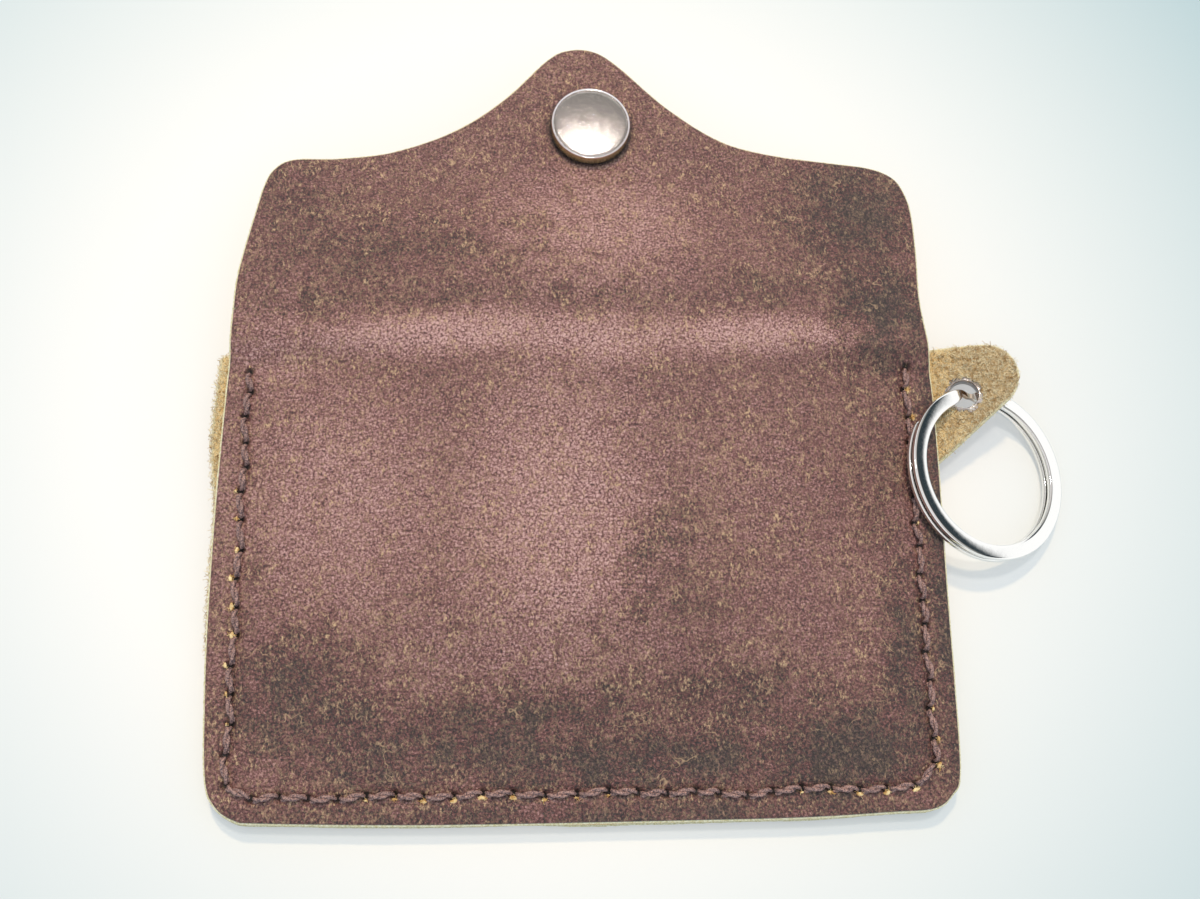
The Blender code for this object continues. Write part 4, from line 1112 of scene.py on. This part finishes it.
class WALLET_OT_tufts(bpy.types.Operator):
    """Let tufts of raw hide stand out of some of the stitch holes"""

    bl_idname = "wallet.tufts"
    bl_label = "Tufts at the holes"

    def execute(self, context):
        # Raw hide that the awl pushed up: golden, a little waxed
        finish = hide_fibres("Raw hide tufts", 0.9, 0.4, 0.6, "#cda263", "#ffe7b0", {"Roughness": 0.6})
        holes = stitch_holes()
        last = len(holes) - 1
        level = SEAM_Z + LEATHER - 0.1
        verts, faces, chips, chip_faces = [], [], [], []
        for i, hole in enumerate(holes):
            inner = 0 < i < last
            amount = 0.5 + 0.5 * sin(12.9898 * i + 4.1)
            if amount < 0.35 and inner:
                continue
            run = holes[min(i + 1, last)] - holes[max(i - 1, 0)]
            away = np.array((run[1], -run[0])) / np.linalg.norm(run)
            if np.dot(away, hole - np.array((0, 30))) < 0:
                away = -away
            along = np.array((-away[1], away[0]))
            spot = hole + away * 0.6 if inner else hole + (0, 0.7)
            size = 0.13 + 0.27 * amount ** 2
            # A chip of raw hide, ragged in outline
            base = len(chips)
            for share, rise in ((1.0, -0.04), (0.95, 0.06), (0.5, 0.15)):
                for k in range(9):
                    angle = 2 * pi * k / 9
                    reach = share * size * (1.15 + 0.3 * sin(5.3 * k + 2.1 * i))
                    x, y = (spot + along * (1.3 * reach * cos(angle))
                            + away * (0.62 * reach * sin(angle)))
                    chips.append(POCKET @ (Vector((x, y, level + rise)) * MM))
            chip_faces += skin(in_rows(len(chips), 9, base), caps=True)
            # The patch that its loose fibres grow from
            faces.append(tuple(range(len(verts), len(verts) + 6)))
            verts += [POCKET @ Vector(((spot[0] + size * 1.3 * cos(k * pi / 3)) * MM,
                                       (spot[1] + size * sin(k * pi / 3)) * MM, level * MM))
                      for k in range(6)]
        ob = new_object("tuft_base", verts, faces)
        drive(ob, bpy.data.node_groups["Loose fibres"], {
            "Density": 4e7, "Length": 0.5 * MM, "Thickness": 0.05 * MM, "Lean": 0.9, "Seed": 9,
            "Material": finish})
        fibres = bake(ob, "hole_fibres")
        chip = solid("hole_chips", chips, chip_faces, Matrix.Identity(4), finish, 60)
        face_outwards(chip.data)
        for ob in (fibres, chip):
            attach(ob, "pocket")
        return {"FINISHED"}


class WALLET_OT_snap(bpy.types.Operator):
    """Turn the snap: cap, post, socket and spring on the flap, stud and its post on the front"""

    bl_idname = "wallet.snap"
    bl_label = "Snap fastener"

    def execute(self, context):
        props = context.scene.wallet_metal
        cap_finish = plated_metal("Nickel-plated snap cap", props.nickel, 0.15, 1.0, 0.45,
                                  linear("#e6e0b4"), relief=0.07)
        # The rim's plate is whiter than the cap's: a painted highlight along the rim
        rim_highlight_finish = plated_metal("Nickel plate, polished rim, painted highlight", linear("#f4f3f4"), 0.1, 0.1, 0.5)
        nickel = plated_metal("Nickel plate", props.nickel, 0.16, 0.3, 0.5)
        brass = plated_metal("Spring brass", props.brass, 0.25, 0.2, 0.4)
        flap = FLAP @ Matrix.Translation((SNAP_X * MM, SNAP_REACH * MM, 0))
        # The cap leans a little towards the mouth, as the leather gives under it
        leaning = flap @ Matrix.Rotation(radians(1.0), 4, "X")
        seat = LEATHER + GAP
        crest = seat + 2.0
        dome = [(5.8 * k / 14, crest - 0.3 + 0.42 * (1 - (k / 14) ** 2)) for k in range(14)]
        rim = fillet([(5.8, crest - 0.3), (5.88, crest - 0.37), (5.95, crest - 0.17),
                      (6.18, crest - 0.15), (6.26, crest - 0.36), (6.3, seat + 0.2),
                      (6.05, seat - 0.02), (5.0, seat), (5.0, seat + 0.3), (5.85, seat + 0.35),
                      (5.85, crest - 0.9), (5.5, crest - 0.75)], 0.04)
        cap = turned("snap_cap_plated", [*dome, *rim, (0, crest - 0.35)], leaning, cap_finish, 128)

        def at(place):
            """Distance from the cap's axis and height in millimetres."""
            place = leaning.inverted() @ place / MM
            return hypot(place.x, place.y), place.z

        # Brass shows through the plate down the cap's side. The rim above it is polished, and its
        # plate is painted whiter than the rest as a painted highlight.
        spots_at = [at(v.co) for v in cap.data.vertices]
        note(cap.data, "wear_and_shade", [float(r > 6.22 and z < crest - 0.3) for r, z in spots_at])
        cap.data.materials.append(rim_highlight_finish)
        for face in cap.data.polygons:
            r, z = at(face.center)
            if 5.9 < r < 6.27 and z > crest - 0.34:
                face.material_index = 1
        post = turned("cap_post_plated", [
            (0, seat + 0.4), (4.6, seat + 0.4), (4.6, seat), (1.25, seat), (1.25, -0.8),
            (1.85, -0.86), (1.9, -0.95), (1.6, -1.0), (0.9, -0.93), (0, -0.9)], flap, nickel, 64)
        socket = turned("snap_socket_plated", fillet([
            (1.4, -0.3), (5.4, -0.3), (5.4, -0.62), (4.6, -0.8), (3.7, -1.2), (3.42, -1.5),
            (3.42, -2.75), (3.2, -3.0), (2.45, -3.0), (2.45, -2.7), (3.02, -2.55), (3.02, -1.4),
            (2.8, -0.8), (1.4, -0.8)], 0.12), flap, nickel)
        turns = [radians(35 + 290 * k / 48) for k in range(49)]
        spring = tube("socket_spring_wire", [Vector((2.53 * cos(a), 2.53 * sin(a), -2.15))
                                             for a in turns], 0.27, flap, brass)
        stud_at = POCKET @ Matrix.Translation((SNAP_X * MM, SNAP_Y * MM, 0))
        stud = turned("snap_stud_plated", fillet([
            (0, -2.3), (1.55, -2.3), (1.55, -0.15), (4.8, -0.15), (5.0, -0.3), (4.9, -0.55),
            (2.3, -0.6), (1.65, -0.8), (1.6, -1.4), (2.05, -1.8), (2.05, -2.2), (1.7, -2.6),
            (0, -2.6)], 0.14), stud_at, nickel)
        head = LEATHER + GAP / 2
        stud_post = turned("stud_post_plated", fillet([
            (0, head + 0.45), (4.3, head + 0.45), (4.6, head + 0.22), (4.5, head), (1.25, head),
            (1.25, -2.0), (0, -2.0)], 0.15), stud_at, nickel, 64)
        for ob, node, body in ((cap, "snap_cap", "flap"), (post, "cap_post", "flap"),
                               (socket, "snap_socket", "flap"), (spring, "socket_spring", "flap"),
                               (stud, "snap_stud", "pocket"), (stud_post, "stud_post", "pocket")):
            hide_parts(node)
            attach(ob, body)
        return {"FINISHED"}


class WALLET_OT_eyelet(bpy.types.Operator):
    """Set the eyelet, whose barrel has split into petals that grip the tab"""

    bl_idname = "wallet.eyelet"
    bl_label = "Eyelet"

    def execute(self, context):
        props = context.scene.wallet_metal
        finish = plated_metal("Eyelet nickel plate", props.nickel, 0.2, 0.6, 0.35)
        at = TAB @ Matrix.Translation(((EYELET[0] - TAB_ROOT_X) * MM, EYELET[1] * MM, 0))
        splits = [radians(a) for a in (8, 49, 96, 141, 183, 232, 274, 321)]
        reaches = [2.98, 2.84, 3.04, 2.9, 3.0, 2.8, 3.05, 2.92]
        steps, top = 160, LEATHER
        verts = []
        for k in range(steps):
            angle = 2 * pi * k / steps
            gap = min(abs((angle - s + pi) % (2 * pi) - pi) for s in splits)
            petal = sum(angle >= s for s in splits) - 1
            slit = np.clip(gap / 0.17, 0, 1) ** 0.8
            reach = 2.48 + (reaches[petal] + 0.05 * sin(9 * angle) - 2.48) * slit
            lift = 0.05 * sin(5.0 * angle + 1.0) * slit
            rim = top + 0.22 + 0.03 * sin(3 * angle)
            # Up the bore, over the rolled rim, out along the petal and back under it
            profile = [(2.2, -0.1), (2.2, top - 0.1), (2.22, rim - 0.1), (2.3, rim),
                       (2.42, rim - 0.02), (2.42 + (reach - 2.42) * 0.5, rim - 0.06 + lift),
                       (reach, top + 0.06 + lift * 0.5), (reach - 0.06, top - 0.04),
                       (2.42 + (reach - 2.42) * 0.45, top), (2.4, top - 0.05), (2.38, top - 0.3),
                       (2.38, -0.1)]
            verts += [(r * cos(angle) * MM, r * sin(angle) * MM, z * MM) for r, z in profile]
        rows = in_rows(len(verts), len(profile))[::-1]
        petals = solid("eyelet_petals", verts, skin(rows, around=True), at, finish, 50)
        flange = turned("eyelet_flange", fillet([
            (2.4, -0.08), (3.45, -0.08), (3.6, -0.2), (3.3, -0.42), (2.6, -0.46), (2.25, -0.3),
            (2.2, 0.0), (2.4, 0.0)], 0.08), at, finish)
        join = merge("eyelet_set", (petals, flange))
        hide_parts("eyelet")
        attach(join, "tab")
        return {"FINISHED"}


class WALLET_OT_split_ring(bpy.types.Operator):
    """Wind the split ring: flat wire in two turns that step through the eyelet"""

    bl_idname = "wallet.split_ring"
    bl_label = "Split ring"

    def execute(self, context):
        props = context.scene.wallet_metal
        finish = plated_metal("Polished spring steel", props.steel, props.polish, 0.06, 0.9,
                              props.ring_shade_in_eyelet)
        start = RING_BEARING - COIL_END_RIGHT
        end = RING_BEARING - 720 + COIL_END_LEFT
        step_at = RING_BEARING - 360
        centre = Vector((-cos(radians(RING_BEARING)), -sin(radians(RING_BEARING)), 0)) * RING_MID_R
        # Steps along the wire, finer where it changes coils
        angles = np.linspace(start, end, props.ring_steps)
        dense = np.linspace(step_at + 14, step_at - 18, 128)
        away = (angles > dense[0] + 0.3) | (angles < dense[-1] - 0.3)
        angles = np.sort(np.concatenate([angles[away], dense]))[::-1]
        # The wire's section: nearly flat faces, rounded sides
        us = [-1 + k / 4 for k in range(9)]
        side = [(0.93, 0.83), (0.985, 0.55), (1.0, 0.2)]
        section = [(0.88 * u, 1 - 0.04 * abs(u) ** 2.4) for u in us] + side
        section += [(x, -y) for x, y in side[::-1]]
        section += [(-x, -y) for x, y in section]

        def stepped(angle):
            """How far the wire has gone from the lower coil to the upper one."""
            return float(smooth_rise(step_at - JOG_HALF, step_at + JOG_HALF, angle))

        half_w, half_t = RING_WIDTH / 2, RING_COIL / 2
        verts = []
        for angle in angles:
            share, turn = stepped(angle), radians(angle)
            out = Vector((cos(turn), sin(turn), 0))
            slope = (stepped(angle - 0.2) - share) * RING_PITCH / (RING_MID_R * radians(0.2))
            ahead = (Vector((sin(turn), -cos(turn), 0)) + Vector((0, 0, slope))).normalized()
            up = out.cross(ahead)
            if up.z < 0:
                up = -up
            point = centre + out * RING_MID_R + Vector((0, 0, RING_PITCH * (share - 0.5)))
            # The wire thins where it changes coils, and tapers at its two ends
            before = angle - step_at
            if before > SHOULDER_END:
                t = min((SHOULDER_START - before) / (SHOULDER_START - SHOULDER_END), 1.0)
                full = (1 - max(t, 0.0) ** 1.8) ** 0.6
            else:
                full = float(smooth_rise(8.0, 17.0, -before))
            pinch = THIN_WIRE + (1 - THIN_WIRE) * full
            taper = 0.55 + 0.45 * float(smooth_rise(0, 5, min(abs(angle - start), abs(angle - end))))
            w, t = half_w * pinch * taper, half_t * (0.6 + 0.4 * taper) * (0.75 + 0.25 * pinch)
            swing = out * (half_w * 0.7 * (1 - pinch) * float(smooth_rise(-6.0, 3.0, before)))
            verts += [(point + swing + out * (x * w) + up * (z * t)) * MM for x, z in section]
        ob = solid("split_ring_wire", verts, skin(in_rows(len(verts), len(section)), caps=True),
                   RING, finish, 50)
        # Painted shade and painted reflection of the leather on the wire inside the eyelet
        note(ob.data, "wear_and_shade", [float(np.exp(-((angle - step_at + 3) / 8) ** 4))
                               for angle in angles for _ in section])
        face_outwards(ob.data)
        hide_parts("split_ring")
        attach(ob, "ring")
        return {"FINISHED"}


def camera_matrix():
    """The photograph's view of the wallet."""
    turn = Matrix.Rotation(radians(CAMERA_YAW), 3, "Z")
    pitch = radians(CAMERA_PITCH)
    ahead = turn @ Vector((0, cos(pitch), -sin(pitch)))
    right = turn @ Vector((1, 0, 0))
    up = right.cross(ahead)
    roll = radians(CAMERA_ROLL)
    right, up = right * cos(roll) + up * sin(roll), up * cos(roll) - right * sin(roll)
    pose = Matrix((right, up, -ahead)).transposed().to_4x4()
    pose.translation = Vector(CAMERA_AT) * MM
    return POCKET @ Matrix.Translation((0, 0, (SEAM_Z + LEATHER) * MM)) @ pose


class WALLET_OT_stage(bpy.types.Operator):
    """Set the white table, the lights and the camera"""

    bl_idname = "wallet.stage"
    bl_label = "Table, lights and camera"

    def execute(self, context):
        props = context.scene.wallet_stage
        scene = context.scene
        scene.view_settings.view_transform = "Standard"
        made, tree = new_material("White table top")
        place = add(tree, "ShaderNodeMapping", {
            "Vector": add(tree, "ShaderNodeTexCoord", out="Object"), "Location": (0.017, -0.004, 0)})
        # Painted falloff of the light: the table's colour, and the glow the camera sees, turn
        # blue-grey away from the wallet towards the corners
        far = add(tree, "ShaderNodeVectorMath", {0: place}, out="Value", operation="LENGTH")
        far = far.mask(0.066, 0.158)
        dress(made, {"Base Color": far.mix(props.table, linear("#afc8ce")), "Roughness": 0.9,
                     "Specular IOR Level": 0.0})
        # The camera sees a share of even light, so that shadows stay pale blue as on white card
        even = add(tree, "ShaderNodeEmission", {
            "Color": far.mix(linear("#fffcf6"), linear("#afcad2")), "Strength": 1.0})
        share = add(tree, "ShaderNodeLightPath", out="Is Camera Ray") * 0.36
        shown = add(tree, "ShaderNodeMixShader", {
            0: share, 1: tree.nodes["Principled BSDF"].outputs["BSDF"], 2: even})
        feed(tree, tree.nodes["Material Output"].inputs, {"Surface": shown})
        bpy.ops.mesh.primitive_plane_add(size=6.0, location=(0, 0, -0.00005))
        table = context.object
        table.name = "table"
        table.data.materials.append(made)
        # The first lamp throws the shadows; the second is the one that metal mirrors
        for name, share, size, shade, toward, mirrored in (
                ("window lamp", 0.66, 0.06, (1.0, 0.75, 0.44), (-0.08, 0.5, 0.86), False),
                ("ceiling lamp", 0.34, 0.09, (1.0, 0.93, 0.86), (0.03, 0.26, 0.965), True)):
            key = bpy.data.lights.new(name, "AREA")
            key.energy = props.key_watts * share
            key.size = size
            key.color = shade
            lamp = bpy.data.objects.new(name, key)
            lamp.location = Vector(toward).normalized()
            lamp.rotation_euler = (-lamp.location).to_track_quat("-Z", "Y").to_euler()
            lamp.visible_glossy = mirrored
            scene.collection.objects.link(lamp)
        world = bpy.data.worlds.new("room")
        world.use_nodes = True
        sky = world.node_tree
        around = sky.nodes["Background"]
        feed(sky, around.inputs, {"Color": (0.76, 0.9, 1.03, 1.0), "Strength": props.sky})
        height = add(sky, "ShaderNodeSeparateXYZ", {
            0: add(sky, "ShaderNodeTexCoord", out="Generated")}, out="Z")
        room = add(sky, "ShaderNodeBackground", {
            "Color": add(sky, "ShaderNodeValToRGB", {"Fac": height}, stops=MIRRORED), "Strength": 1.0})
        path = {ray: add(sky, "ShaderNodeLightPath", out=ray)
                for ray in ("Is Glossy Ray", "Is Camera Ray")}
        mixed = add(sky, "ShaderNodeMixShader", {
            0: path["Is Glossy Ray"], 1: around.outputs["Background"], 2: room})
        mixed = add(sky, "ShaderNodeMixShader", {
            0: path["Is Camera Ray"], 1: mixed,
            2: add(sky, "ShaderNodeBackground", {"Strength": 1.0})})
        feed(sky, sky.nodes["World Output"].inputs, {"Surface": mixed})
        scene.world = world
        camera = bpy.data.cameras.new("camera")
        camera.lens = CAMERA_LENS
        camera.sensor_width = 36.0
        camera.clip_start = 0.005
        camera.clip_end = 20.0
        eye = bpy.data.objects.new("camera", camera)
        eye.matrix_world = camera_matrix()
        scene.collection.objects.link(eye)
        scene.camera = eye
        return {"FINISHED"}


class WALLET_PT_panel(bpy.types.Panel):
    """Card Wallet"""

    bl_label = "Card Wallet"
    bl_idname = "WALLET_PT_panel"
    bl_space_type = "VIEW_3D"
    bl_region_type = "UI"
    bl_category = "Card Wallet"

    def draw(self, context):
        for group in SETTINGS:
            box = self.layout.box()
            settings = getattr(context.scene, group)
            for name in settings.bl_rna.properties.keys():
                if name not in ("rna_type", "name"):
                    box.prop(settings, name)
        for operator in OPERATORS:
            self.layout.operator(operator.bl_idname)


SETTINGS = {"wallet_leather": WalletLeatherSettings, "wallet_thread": WalletThreadSettings,
            "wallet_metal": WalletMetalSettings, "wallet_stage": WalletStageSettings}
OPERATORS = (WALLET_OT_back_leather, WALLET_OT_front_leather, WALLET_OT_sew_seams,
             WALLET_OT_tufts, WALLET_OT_snap, WALLET_OT_eyelet, WALLET_OT_split_ring, WALLET_OT_stage)


def register():
    for kind in (*SETTINGS.values(), *OPERATORS, WALLET_PT_panel):
        bpy.utils.register_class(kind)
    for name, kind in SETTINGS.items():
        setattr(bpy.types.Scene, name, PointerProperty(type=kind))


def unregister():
    for name in SETTINGS:
        delattr(bpy.types.Scene, name)
    for kind in reversed((*SETTINGS.values(), *OPERATORS, WALLET_PT_panel)):
        bpy.utils.unregister_class(kind)


def main():
    register()
    for operator in OPERATORS:
        group, name = operator.bl_idname.split(".")
        getattr(getattr(bpy.ops, group), name)()


if __name__ == "__main__":
    main()
